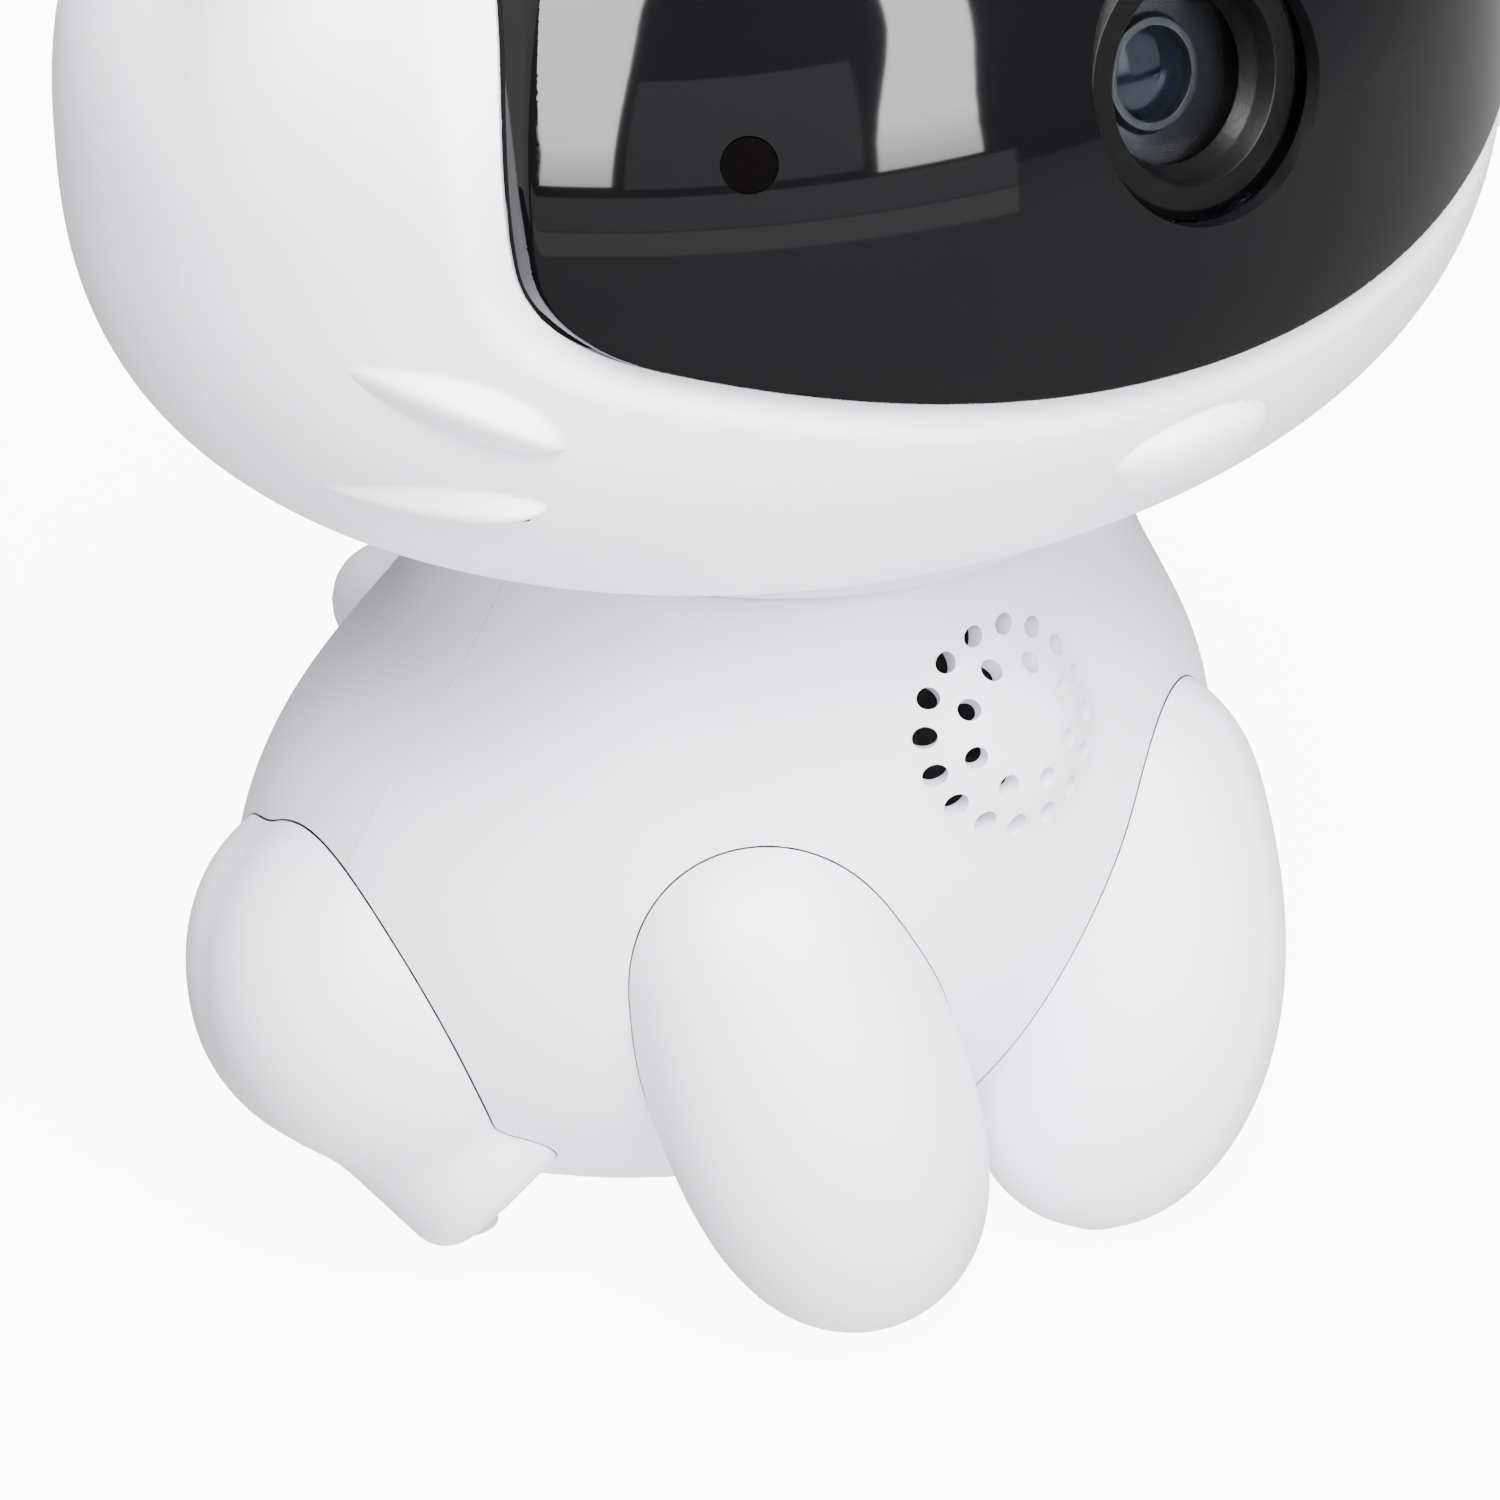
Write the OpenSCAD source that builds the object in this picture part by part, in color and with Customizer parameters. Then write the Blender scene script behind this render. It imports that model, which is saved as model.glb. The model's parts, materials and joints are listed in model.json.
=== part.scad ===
// Cat-shaped baby monitor camera: a wide head that pans on a seated, pear-shaped body with four legs.
// Millimetres. +Z is up, -Y is the face, and the origin is on the floor under the pan axis.

/* [Head] */
// Width of the head
head_w = 112; // [108:0.5:116]
// Depth of the head, face to back
head_d = 98; // [95:0.5:101]
// Height of the head without its ears
head_h = 66; // [64:0.5:68]
// Height of the head's middle above the floor
head_z = 94; // [94:0.5:98]
// Squareness of the head's upright section (2 is an ellipse)
head_round = 2.55; // [2.3:0.05:2.8]
// Wall thickness of the head shells
head_wall = 2.2; // [2:0.1:2.4]
// Where the front and rear head shells part
head_split_y = -2.4; // [-5:0.1:0]
// Height of the ear tips above the floor
ear_top = 144; // [142:0.5:147]
// Distance of each ear tip from the middle
ear_x = 38; // [36:0.5:40]

/* [Face] */
// Width of the black visor
visor_w = 90.5; // [89:0.5:92]
// Lowest point of the visor
visor_low = 84.5; // [84:0.5:86]
// Highest point of the visor
visor_high = 121.8; // [119:0.1:122]
// Thickness of the visor panel
visor_t = 1.3; // [1.2:0.1:1.4]
// How far the visor stands proud of the head
visor_proud = 0.5; // [0.4:0.1:0.6]
// Height of the lens axis where it meets the visor
lens_z = 105.4; // [105:0.1:106.4]
// Distance of that point in front of the pan axis
lens_y = -48.6; // [-48.8:0.1:-48.2]
// Upward aim of the lens in degrees
lens_tilt = 10; // [8:0.5:12]
// Radius of the round hole in the visor
lens_hole_r = 10.1; // [10:0.1:10.6]

/* [Body] */
// Height of the body's flat top
body_top = 60.2; // [59.6:0.1:60.2]
// Height of the body's underside above the floor
body_low = 7; // [6.5:0.1:7.5]
// Wall thickness of the body shells
body_wall = 2; // [1.8:0.1:2.1]
// Depth of the body as a share of its width
body_flat = 0.92; // [0.9:0.01:0.94]
// Backward lean of the body's axis in degrees
body_lean = 16.6; // [15.5:0.1:17]
// Base radius of the speaker dome
dome_r = 8.9; // [8.5:0.1:9.2]
// Height of the speaker dome
dome_h = 4.5; // [4:0.1:4.6]
// Radius of one sound hole
sound_hole_r = 0.82; // [0.7:0.01:0.85]

/* [Legs] */
// Distance of each front foot from the middle
front_foot_x = 11.9; // [11.6:0.1:12.3]
// Radius of the front foot
front_foot_r = 9.5; // [9.2:0.1:9.8]
// Radius of the rear leg
rear_leg_r = 13.2; // [12.8:0.1:13.4]
// Radius of the rubber pad under each foot
pad_r = 2.8; // [2.6:0.1:3]

/* [Pan drive] */
// Gear tooth size (module)
gear_module = 0.6; // [0.6:0.6]
// Teeth on the pan gear
gear_teeth = 40; // [40:40]
// Teeth on the motor pinion
pinion_teeth = 12; // [12:12]
// Outer radius of the hollow spindle under the head
spindle_r = 9; // [9:9]
// Running clearance of the spindle in its bush
running_fit = 0.05; // [0.03:0.01:0.08]

/* [Hidden] */

eps = 0.01;
big = 200;
gap = 0.12;          // seam between neighbouring mouldings
ring_n = 40;         // points around a lofted ring
a = head_w / 2;
b = head_d / 2;
c = head_h / 2;
head_floor = head_z - c;
ir_x = 33;
ir_z = 105.4;
ir_window_r = 1.95;
holder_low = -22.5;
bracket_z = -11.6;
pillar_x = 15;
pillar_y = 9.5;
aperture_r = 3.4;
filter_w = 7.2;
filter_travel = 9;
flange_z = head_floor + 2.95;
flange_t = 1.7;
spindle_screw_r = 11.1;
spindle_low = 44.6;
groove_depth = 0.8;
gear_z = 53;
gear_t = 3.6;
gear_pitch_r = gear_module * gear_teeth / 2;
pinion_pitch_r = gear_module * pinion_teeth / 2;
gear_backlash = 0.12;
centre_distance = gear_pitch_r + pinion_pitch_r + gear_backlash;
deck_z = 48.6;
deck_t = 2;
deck_top = deck_z + deck_t;
bush_r = 10.4;
bush_low = deck_z - 2.2;
bush_flange_t = 1.2;
motor_r = 10;
motor_h = 13.5;
motor_y = centre_distance + 6;
motor_screw_x = 7;
shaft_r = 1.5;
shaft_low = 44;
dome_ball_r = (dome_r * dome_r + dome_h * dome_h) / (2 * dome_h);
dome_y = -21.9;
dome_z = 47;
dome_lean = 20.5;
speaker_r = 8.5;
base_w = 27.6;       // half width of the body's flat underside
plate_t = 2;
plate_low = body_low + 0.2;
plate_top = plate_low + plate_t;
board_z = 14.4;
board_y = 20;
board_w = 40;
board_d = 36;
board_t = 1.6;
post_x = 16;
post_front = board_y - 13;
post_back = board_y + 2;
usb_x = -12;
usb_z = board_z + 3.4;
card_x = 13;
reset_x = -6;
reset_y = 8;
reset_r = 1.5;
sole_z = 0.6;
pad_t = 1.1;
front_pad_y = -18.4;
rear_pad_x = 25.4;
rear_pad_y = 14;
white = [0.93, 0.93, 0.94];
black = [0.03, 0.03, 0.035];
pcb_green = [0.05, 0.3, 0.15];

// Body outline: [share of the body's height, half width] from the underside to the neck
body_outline = [[0, base_w], [0.02, 29.7], [0.09, 32.9], [0.17, 35.9], [0.24, 37.9], [0.34, 38.8],
                [0.43, 38.8], [0.53, 38.1], [0.62, 36.3], [0.71, 33.6], [0.81, 30.6], [0.9, 27.9],
                [0.96, 26.7], [0.985, 25.8], [1, 24.6]];
function signed_pow(v, p) = sign(v) * pow(abs(v), p);
function body_mid_y(z) = 8.1 - tan(body_lean) * (z - 40);
function mix(p, q, t) = p + (q - p) * t;

// ---- Shared forms ----

// A closed solid through rings of equal point count, listed from the lowest up
module loft(rings) {
    n = len(rings[0]);
    m = len(rings);
    sides = [for (j = [0 : m - 2], i = [0 : n - 1])
             [j * n + i, (j + 1) * n + i, (j + 1) * n + (i + 1) % n, j * n + (i + 1) % n]];
    floor_face = [[for (i = [0 : n - 1]) i]];
    roof_face = [[for (i = [n - 1 : -1 : 0]) (m - 1) * n + i]];
    polyhedron([for (r = rings) each r], concat(sides, floor_face, roof_face), convexity = 6);
}

function ellipse_ring(rx, ry, y, z) =
    [for (i = [0 : ring_n - 1]) [rx * cos(360 * i / ring_n), y + ry * sin(360 * i / ring_n), z]];

// The head without ears, grown outwards by grow
module head_form(grow) {
    loft([for (lat = [-80 : 10 : 80])
          ellipse_ring((a + grow) * pow(cos(lat), 2 / head_round),
                       (b + grow) * pow(cos(lat), 2 / head_round), 0,
                       head_z + (c + grow) * signed_pow(sin(lat), 2 / head_round))]);
}

module ball(p, r) {
    translate(p) sphere(r, $fn = 26);
}

// One ear, a rounded triangle in two tapering stages
module ear(side, grow) {
    low_in = [side * (ear_x - 18), -4, ear_top - 27];
    low_out = [side * (ear_x + 7), -4, ear_top - 36];
    mid_in = [side * (ear_x - 7), -5, ear_top - 13];
    mid_out = [side * (ear_x + 5), -5, ear_top - 16];
    tip = [side * ear_x, -6, ear_top - 5];
    hull() {
        ball(low_in, 7 + grow);
        ball(low_out, 7 + grow);
        ball(mid_in, 6.2 + grow);
        ball(mid_out, 6.2 + grow);
    }
    hull() {
        ball(mid_in, 6.2 + grow);
        ball(mid_out, 6.2 + grow);
        ball(tip, 5 + grow);
    }
}

module head_shell() {
    difference() {
        union() {
            head_form(0);
            for (side = [-1, 1]) ear(side, 0);
        }
        head_form(-head_wall);
        for (side = [-1, 1]) ear(side, -head_wall);
        translate([0, 0, head_floor - 2]) cylinder(r = spindle_r + 0.4, h = 8, $fn = 48);
        at_spindle_screws() translate([0, 0, head_floor + 1.2]) cylinder(r = 1.05, h = 4, $fn = 12);
    }
}

module at_spindle_screws() {
    for (turn = [45 : 90 : 315]) rotate(turn) translate([spindle_screw_r, 0, 0]) children();
}

// Front of the head at width x and height z
function face_y(x, z) =
    -b * sqrt(pow(1 - pow(abs(z - head_z) / c, head_round), 2 / head_round) - x * x / (a * a));

// Visor outline in the face plane, drawn with its height along Y
module visor_outline(grow) {
    side_r = 28;
    chin_r = 122;
    brow_r = 230;
    corner_r = 5;
    offset(r = corner_r + grow) offset(delta = -corner_r)
        intersection() {
            hull() for (side = [-1, 1])
                translate([side * (visor_w / 2 - side_r), 99.5]) circle(side_r, $fn = 60);
            translate([0, visor_low + chin_r]) circle(chin_r, $fn = 130);
            translate([0, visor_high - brow_r]) circle(brow_r, $fn = 130);
        }
}

module visor_prism(grow) {
    rotate([90, 0, 0]) linear_extrude(90) visor_outline(grow, $fn = 20);
}

// Moves its children so that Z = 0 is the visor's surface on the lens axis, with +Z out of the lens
module at_lens() {
    translate([0, lens_y, lens_z]) rotate([90 - lens_tilt, 0, 0]) children();
}

// Moves its children to an infrared lamp place, with +Z straight out of the visor
module at_ir(side) {
    turn = atan((ir_x / (a * a)) / (-face_y(ir_x, ir_z) / (b * b)));
    translate([side * ir_x, face_y(ir_x, ir_z), ir_z])
        rotate([0, 0, side * turn]) rotate([80, 0, 0]) children();
}

// The body's outer form between two heights, grown sideways by grow
module body_form(grow, low, top) {
    loft([for (k = body_outline)
          let (z = mix(low, top, k[0]))
          ellipse_ring(k[1] + grow, body_flat * k[1] + grow, body_mid_y(z), z)]);
}

// A plate with the outline of the body's underside, grown by grow
module underside_plate(grow, low, thick) {
    loft([for (z = [low, low + thick])
          ellipse_ring(base_w + grow, body_flat * base_w + grow, body_mid_y(body_low), z)]);
}

// The hollow body before it is parted, with its neck opening and its open underside
module body_hollow() {
    body_form(-body_wall, body_low, body_top - body_wall);
    underside_plate(-body_wall, body_low - 1, 1.2);
    translate([0, 0, deck_top]) cylinder(r = 13.2, h = 14, $fn = 64);
}

// Half spaces behind and in front of the body's leaning seam, moved back by shift
module behind_body_seam(shift) {
    translate([0, body_mid_y(40), 40]) rotate([body_lean, 0, 0])
        translate([-big / 2, shift, -big / 2]) cube(big);
}
module before_body_seam(shift) {
    behind_body_seam(shift - big);
}

module at_dome() {
    translate([0, dome_y, dome_z]) rotate([90 - dome_lean, 0, 0]) children();
}

// ---- Head: shells and face ----

// A moulded ridge on the face, from one tip to the other, thickest at share of its length
module ridge(p, q, thick, share) {
    function at(t, sink) = let (x = p[0] + (q[0] - p[0]) * t, z = p[1] + (q[1] - p[1]) * t)
                           [x, face_y(x, z) + sink, z];
    for (t = [0, 1]) hull() {
        translate(at(t, 0.1)) sphere(0.45, $fn = 10);
        translate(at(share, thick * 0.35)) sphere(thick, $fn = 14);
    }
}

module head_front_shell() {
    color(white) difference() {
        union() {
            difference() {
                head_shell();
                translate([-big / 2, head_split_y, -eps]) cube(big);
            }
            for (side = [-1, 1]) {
                ridge([side * 52, 90.2], [side * 44, 84.8], 1.9, 0.55);
                ridge([side * 50.7, 78.4], [side * 43.6, 79.8], 1.6, 0.5);
            }
            ridge([-6.8, 77.2], [6.8, 77.2], 2.4, 0.5);
        }
        difference() {
            visor_prism(0.15);
            head_form(visor_proud - visor_t - 0.6);
        }
        visor_prism(-3);
    }
}

module head_rear_shell() {
    color(white) difference() {
        head_shell();
        translate([-big / 2, head_split_y + gap - big, -eps]) cube(big);
    }
}

module visor() {
    color(black) difference() {
        intersection() {
            visor_prism(0);
            difference() {
                head_form(visor_proud);
                head_form(visor_proud - visor_t);
            }
        }
        at_lens() translate([0, 0, -12]) cylinder(r = lens_hole_r, h = 24, $fn = 96);
        for (side = [-1, 1]) at_ir(side) translate([0, 0, -6]) cylinder(r = ir_window_r + 0.05, h = 12, $fn = 32);
    }
}

module visor_gasket() {
    color("dimgray") difference() {
        intersection() {
            visor_prism(-0.3);
            difference() {
                head_form(visor_proud - visor_t - 0.05);
                head_form(visor_proud - visor_t - 0.5);
            }
        }
        visor_prism(-2.8);
    }
}

module ir_windows() {
    color([0.02, 0.01, 0.02]) for (side = [-1, 1]) at_ir(side)
        translate([0, 0, -1.6]) cylinder(r = ir_window_r, h = 1.9, $fn = 32);
}

// ---- Head: camera module on the lens axis ----

// Stepped funnel from the visor down to the window, with a pocket for the window behind its lip
module lens_bezel() {
    color(black) at_lens() rotate_extrude($fn = 96)
        polygon([[9.8, -6.4], [9.8, -3.1], [9.15, -2.55], [7.4, -2.55], [6.9, -3.95], [6.2, -5.1],
                 [6.2, -5.15], [7.3, -5.15], [7.3, -6.4]]);
}

module lens_window() {
    color([0.1, 0.1, 0.12, 0.4]) at_lens() translate([0, 0, -5.72]) cylinder(r = 7.25, h = 0.55, $fn = 72);
}

module lens_barrel() {
    color([0.08, 0.08, 0.09]) at_lens() rotate_extrude($fn = 72)
        polygon([[3.4, -7], [4, -7], [4.3, -7.7], [7, -7.7], [7, -9], [6, -9], [6, -19], [3.4, -19]]);
}

module lens_glass() {
    dome_rise = 0.9;
    glass_r = 3.35;
    ball_r = (glass_r * glass_r + dome_rise * dome_rise) / (2 * dome_rise);
    color([0.2, 0.25, 0.35, 0.6]) at_lens() translate([0, 0, -6.85 - ball_r])
        rotate_extrude($fn = 72) intersection() {
            circle(ball_r, $fn = 200);
            translate([0, ball_r - 2.4]) square([glass_r, 3]);
        }
}

// Block that holds the barrel, with a side pocket the infrared filter slides in
module lens_holder() {
    pocket = filter_w + filter_travel + 0.5;
    color([0.1, 0.1, 0.1]) at_lens() difference() {
        translate([-8, -7.5, holder_low]) cube([22.5, 15, 9.5]);
        translate([0, 0, -19.2]) cylinder(r = 6.05, h = 8, $fn = 72);
        translate([0, 0, holder_low - 1]) cylinder(r = aperture_r, h = 6, $fn = 48);
        translate([-filter_w / 2 - 0.25, -4.3, -20.7]) cube([pocket, 8.6, 1]);
        translate([-4.2, -3.7, holder_low - eps]) cube([8.4, 7.4, 1.3]);
    }
}

module ir_cut_filter() {
    color([0.5, 0.2, 0.25, 0.6]) at_lens() translate([-filter_w / 2, -4, -20.5]) cube([filter_w, 8, 0.6]);
}

module at_pillars() {
    for (x = [-pillar_x, pillar_x], y = [-pillar_y, pillar_y]) translate([x, y, 0]) children();
}

module sensor_board() {
    color(pcb_green) at_lens() difference() {
        translate([-18, -13, holder_low - 1.65]) cube([36, 26, 1.6]);
        at_pillars() translate([0, 0, holder_low - 3]) cylinder(r = 1.1, h = 4, $fn = 24);
    }
}

module image_sensor() {
    color([0.15, 0.15, 0.2]) at_lens() translate([-3.8, -3.3, holder_low - 0.04]) cube([7.6, 6.6, 1]);
}

// Plate behind the visor, with four pillars that the sensor board is screwed to
module camera_bracket() {
    color([0.2, 0.2, 0.2]) at_lens() {
        difference() {
            translate([-17, -11.5, bracket_z]) cube([34, 23, 2]);
            translate([0, 0, bracket_z - 1]) cylinder(r = 7.4, h = 4, $fn = 64);
        }
        at_pillars() translate([0, 0, holder_low])
            cylinder(r = 1.5, h = bracket_z - holder_low + 1, $fn = 32);
    }
}

module ir_leds() {
    color([0.3, 0.1, 0.35]) for (side = [-1, 1]) at_ir(side) translate([0, 0, -6.6])
        rotate_extrude($fn = 40) union() {
            square([1.9, 3]);
            intersection() {
                translate([0, 2.7]) circle(1.9, $fn = 40);
                translate([0, 2.6]) square([2, 2.2]);
            }
        }
}

module ir_boards() {
    color(pcb_green) for (side = [-1, 1]) at_ir(side)
        translate([-5, -6, -7.9]) cube([10, 12, 1.2]);
}

module wifi_antenna() {
    color([0.75, 0.6, 0.25]) translate([-18, b - 7.9, head_z + 2]) cube([36, 0.6, 8]);
}

// ---- Head: pan spindle ----

// Hollow spindle with a screwed flange on the head's floor and a groove for its clip
module pan_spindle() {
    color([0.85, 0.85, 0.82]) difference() {
        union() {
            translate([0, 0, spindle_low])
                cylinder(r = spindle_r, h = flange_z + flange_t - spindle_low, $fn = 96);
            translate([0, 0, flange_z]) cylinder(r = 14, h = flange_t, $fn = 96);
        }
        translate([0, 0, spindle_low - 1]) cylinder(r = 5, h = 40, $fn = 64);
        translate([0, 0, spindle_low + 0.6]) difference() {
            cylinder(r = spindle_r + 1, h = 1.1, $fn = 96);
            translate([0, 0, -1]) cylinder(r = spindle_r - groove_depth, h = 3, $fn = 96);
        }
        at_spindle_screws() translate([0, 0, flange_z - 1]) cylinder(r = 1.15, h = 4, $fn = 24);
    }
}

// Spur gear blank with straight-flanked teeth: root disc plus one trapezium a tooth
module spur_gear(teeth, turn) {
    pitch_r = gear_module * teeth / 2;
    root_r = pitch_r - 1.2 * gear_module;
    tip_r = pitch_r + 0.95 * gear_module;
    half_pitch = 90 / teeth;
    root_w = root_r * sin(half_pitch * 1.25);
    tip_w = tip_r * sin(half_pitch * 0.42);
    linear_extrude(gear_t) union() {
        circle(root_r, $fn = 96);
        for (i = [0 : teeth - 1]) rotate(turn + 360 * i / teeth)
            polygon([[root_r - 0.3, -root_w], [tip_r, -tip_w], [tip_r, tip_w], [root_r - 0.3, root_w]]);
    }
}

module pan_gear() {
    color([0.92, 0.9, 0.8]) difference() {
        translate([0, 0, gear_z]) spur_gear(gear_teeth, 90);
        translate([0, 0, gear_z - 1]) cylinder(r = spindle_r + 0.01, h = gear_t + 2, $fn = 96);
    }
}

module retaining_clip() {
    color("silver") translate([0, 0, spindle_low + 0.7]) difference() {
        cylinder(r = 11, h = 0.9, $fn = 72);
        translate([0, 0, -1]) cylinder(r = spindle_r - groove_depth + 0.05, h = 3, $fn = 72);
        translate([-3, -12, -1]) cube([6, 12, 3]);
    }
}

// Seven wires that run from the body to the head through the spindle
module wire_bundle() {
    wire_r = 0.75;
    wire_low = 24;
    color([0.15, 0.15, 0.15]) translate([0, 0, wire_low]) {
        cylinder(r = wire_r, h = head_floor + 18 - wire_low, $fn = 16);
        for (turn = [0 : 60 : 300]) rotate(turn) translate([2 * wire_r + 0.05, 0, 0])
            cylinder(r = wire_r, h = head_floor + 16 - wire_low, $fn = 16);
    }
}

// Four screws through the spindle's flange into the head's floor
module spindle_screws() {
    color("silver") at_spindle_screws() {
        translate([0, 0, head_floor + 1.4]) cylinder(r = 1, h = flange_z + flange_t - head_floor, $fn = 24);
        translate([0, 0, flange_z + flange_t + 0.02]) cylinder(r = 1.9, h = 1.2, $fn = 24);
    }
}

// ---- Body: shells ----

module dome_solid(shrink) {
    at_dome() translate([0, 0, dome_h - dome_ball_r]) sphere(dome_ball_r - shrink, $fn = 64);
}

module flat_disc_cut() {
    at_dome() translate([0, 0, dome_h - 0.3]) cylinder(r = 6, h = 4, $fn = 48);
}

module sound_hole(r, turn) {
    at_dome() rotate(turn) translate([r, 0, -9]) cylinder(r = sound_hole_r, h = 16, $fn = 8);
}

module body_front_shell() {
    color(white) difference() {
        union() {
            body_form(0, body_low, body_top);
            intersection() {
                dome_solid(0);
                at_dome() translate([0, 0, -3]) cylinder(r = 12, h = 9, $fn = 64);
            }
        }
        flat_disc_cut();
        body_hollow();
        dome_solid(1.7);
        for (i = [0 : 7]) sound_hole(4.7, 45 * i + 15);
        for (i = [0 : 15]) sound_hole(7.5, 22.5 * i + 13);
        behind_body_seam(-gap / 2);
    }
}

module body_rear_shell() {
    color(white) difference() {
        body_form(0, body_low, body_top);
        body_hollow();
        before_body_seam(gap / 2);
        usb_opening();
        card_opening();
    }
}

module usb_opening() {
    translate([usb_x, 50, usb_z]) rotate([90, 0, 0]) linear_extrude(16) hull()
        for (s = [-1, 1]) translate([s * 3.2, 0]) circle(1.9, $fn = 32);
}
module card_opening() {
    translate([card_x - 6.2, 30, board_z + 2]) cube([12.4, 25, 1.8]);
}

module neck_ring() {
    color(white) translate([0, 0, body_top]) difference() {
        cylinder(r = 22.5, h = 0.9, $fn = 120);
        translate([0, 0, -1]) cylinder(r = 13.4, h = 3, $fn = 96);
    }
}

module at_posts() {
    for (x = [-post_x, post_x], y = [post_front, post_back]) translate([x, y, 0]) children();
}

// Closing plate of the underside, with four posts for the main board
module base_plate() {
    post_h = board_z - plate_top - 0.02;
    color([0.86, 0.86, 0.87]) {
        difference() {
            underside_plate(-body_wall - 0.15, plate_low, plate_t);
            translate([reset_x, reset_y, plate_low - 1]) cylinder(r = reset_r + 0.08, h = 5, $fn = 40);
        }
        at_posts() translate([0, 0, plate_top - 0.5]) difference() {
            cylinder(r = 2.6, h = post_h + 0.5, $fn = 32);
            translate([0, 0, 1.2]) cylinder(r = 1, h = 10, $fn = 20);
        }
    }
}

// ---- Body: pan drive ----

module deck_plate() {
    color([0.8, 0.8, 0.8]) difference() {
        loft([for (z = [deck_z, deck_top]) ellipse_ring(27.4, 25.2, body_mid_y(deck_top), z)]);
        translate([-10, -30, deck_z - 1]) cube([20, 18.1, 5]);
        translate([0, 0, deck_z - 1]) cylinder(r = bush_r + 0.05, h = 5, $fn = 96);
        translate([0, centre_distance, deck_z - 1]) cylinder(r = 3, h = 5, $fn = 48);
        at_motor_screws() translate([0, 0, deck_z - 1]) cylinder(r = 1.2, h = 5, $fn = 24);
    }
}

module neck_bush() {
    color([0.95, 0.95, 0.9]) difference() {
        union() {
            translate([0, 0, bush_low]) cylinder(r = bush_r, h = deck_top - bush_low + 0.5, $fn = 96);
            translate([0, 0, deck_top + 0.02]) cylinder(r = bush_r + 1, h = bush_flange_t, $fn = 96);
        }
        translate([0, 0, bush_low - 1]) cylinder(r = spindle_r + running_fit, h = 12, $fn = 96);
    }
}

module thrust_washer() {
    washer_low = deck_top + bush_flange_t + 0.05;
    color([0.9, 0.88, 0.75]) translate([0, 0, washer_low]) difference() {
        cylinder(r = bush_r + 0.8, h = gear_z - 0.1 - washer_low, $fn = 96);
        translate([0, 0, -1]) cylinder(r = spindle_r + 0.35, h = 4, $fn = 96);
    }
}

module at_motor_screws() {
    for (side = [-1, 1]) translate([side * motor_screw_x, motor_y, 0]) children();
}

// Geared motor under the deck, with its output bore offset towards the pan axis
module pan_motor() {
    motor_low = deck_z - 0.05 - motor_h;
    color("silver") difference() {
        union() {
            translate([0, motor_y, motor_low]) cylinder(r = motor_r, h = motor_h, $fn = 72);
            translate([0, centre_distance, deck_z - 1]) cylinder(r = 2.8, h = 2.4, $fn = 40);
        }
        translate([0, centre_distance, shaft_low - 0.4])
            cylinder(r = shaft_r + running_fit, h = 20, $fn = 48);
        at_motor_screws() translate([0, 0, deck_z - 4]) cylinder(r = 1.05, h = 6, $fn = 20);
    }
}

module motor_shaft() {
    color("silver") translate([0, centre_distance, shaft_low]) cylinder(r = shaft_r, h = 13, $fn = 48);
}

module motor_pinion() {
    color([0.92, 0.9, 0.8]) translate([0, centre_distance, 0]) difference() {
        translate([0, 0, gear_z]) spur_gear(pinion_teeth, 90 + 180 / pinion_teeth);
        translate([0, 0, gear_z - 1]) cylinder(r = shaft_r + 0.01, h = gear_t + 2, $fn = 48);
    }
}

module motor_screws() {
    color("silver") at_motor_screws() {
        translate([0, 0, deck_z - 3]) cylinder(r = 1, h = deck_t + 3.2, $fn = 24);
        translate([0, 0, deck_top + 0.02]) cylinder(r = 2, h = 1.3, $fn = 24);
    }
}

// ---- Body: sound, electronics and controls ----

module speaker() {
    color([0.2, 0.2, 0.22]) at_dome() translate([0, 0, -7.9]) rotate_extrude($fn = 72)
        polygon([[0, 0], [6, 0], [6, 1.6], [speaker_r, 1.6], [speaker_r, 3.2], [7.4, 3.2], [5, 2.3],
                 [3, 2.3], [2.4, 2.9], [0, 3.1]]);
}

module speaker_gasket() {
    color("dimgray") at_dome() translate([0, 0, -4.6]) difference() {
        cylinder(r = speaker_r, h = 0.8, $fn = 72);
        translate([0, 0, -1]) cylinder(r = 7.4, h = 3, $fn = 72);
    }
}

module main_board() {
    board_low_y = board_y - board_d / 2;
    color(pcb_green) difference() {
        translate([0, 0, board_z]) linear_extrude(board_t) union() {
            translate([-board_w / 2, board_low_y]) square([board_w, board_d]);
            translate([usb_x - 5, board_y]) square([10, board_d / 2 + 2.9]);
        }
        at_posts() translate([0, 0, board_z - 1]) cylinder(r = 1.2, h = 4, $fn = 24);
    }
}

module usb_slot_shape(r) {
    hull() for (s = [-1, 1]) translate([s * 2.9, 0]) circle(r, $fn = 32);
}

module usb_inlet() {
    color("silver") translate([usb_x, board_y + board_d / 2 - 1.4, usb_z]) rotate([-90, 0, 0]) {
        difference() {
            linear_extrude(9) usb_slot_shape(1.65);
            translate([0, 0, 1.5]) linear_extrude(9) usb_slot_shape(1.35);
        }
        translate([-2.6, -0.35, 1]) cube([5.2, 0.7, 6.6]);
    }
}

module card_socket() {
    color("silver") translate([card_x - 7, board_y + 4.3, board_z + board_t + 0.05]) difference() {
        cube([14, 15, 2.2]);
        translate([1, 2, 0.5]) cube([12, 14, 1.2]);
    }
}

// Push button in the underside, with a stop flange inside the plate and a stem to its switch
module reset_button() {
    color([0.3, 0.3, 0.32]) translate([reset_x, reset_y, plate_low]) {
        translate([0, 0, -0.5]) cylinder(r = reset_r, h = 3.3, $fn = 40);
        translate([0, 0, plate_t + 0.05]) cylinder(r = 2.4, h = 1, $fn = 40);
        translate([0, 0, plate_t]) cylinder(r = 0.9, h = 2.9, $fn = 24);
    }
}

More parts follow.
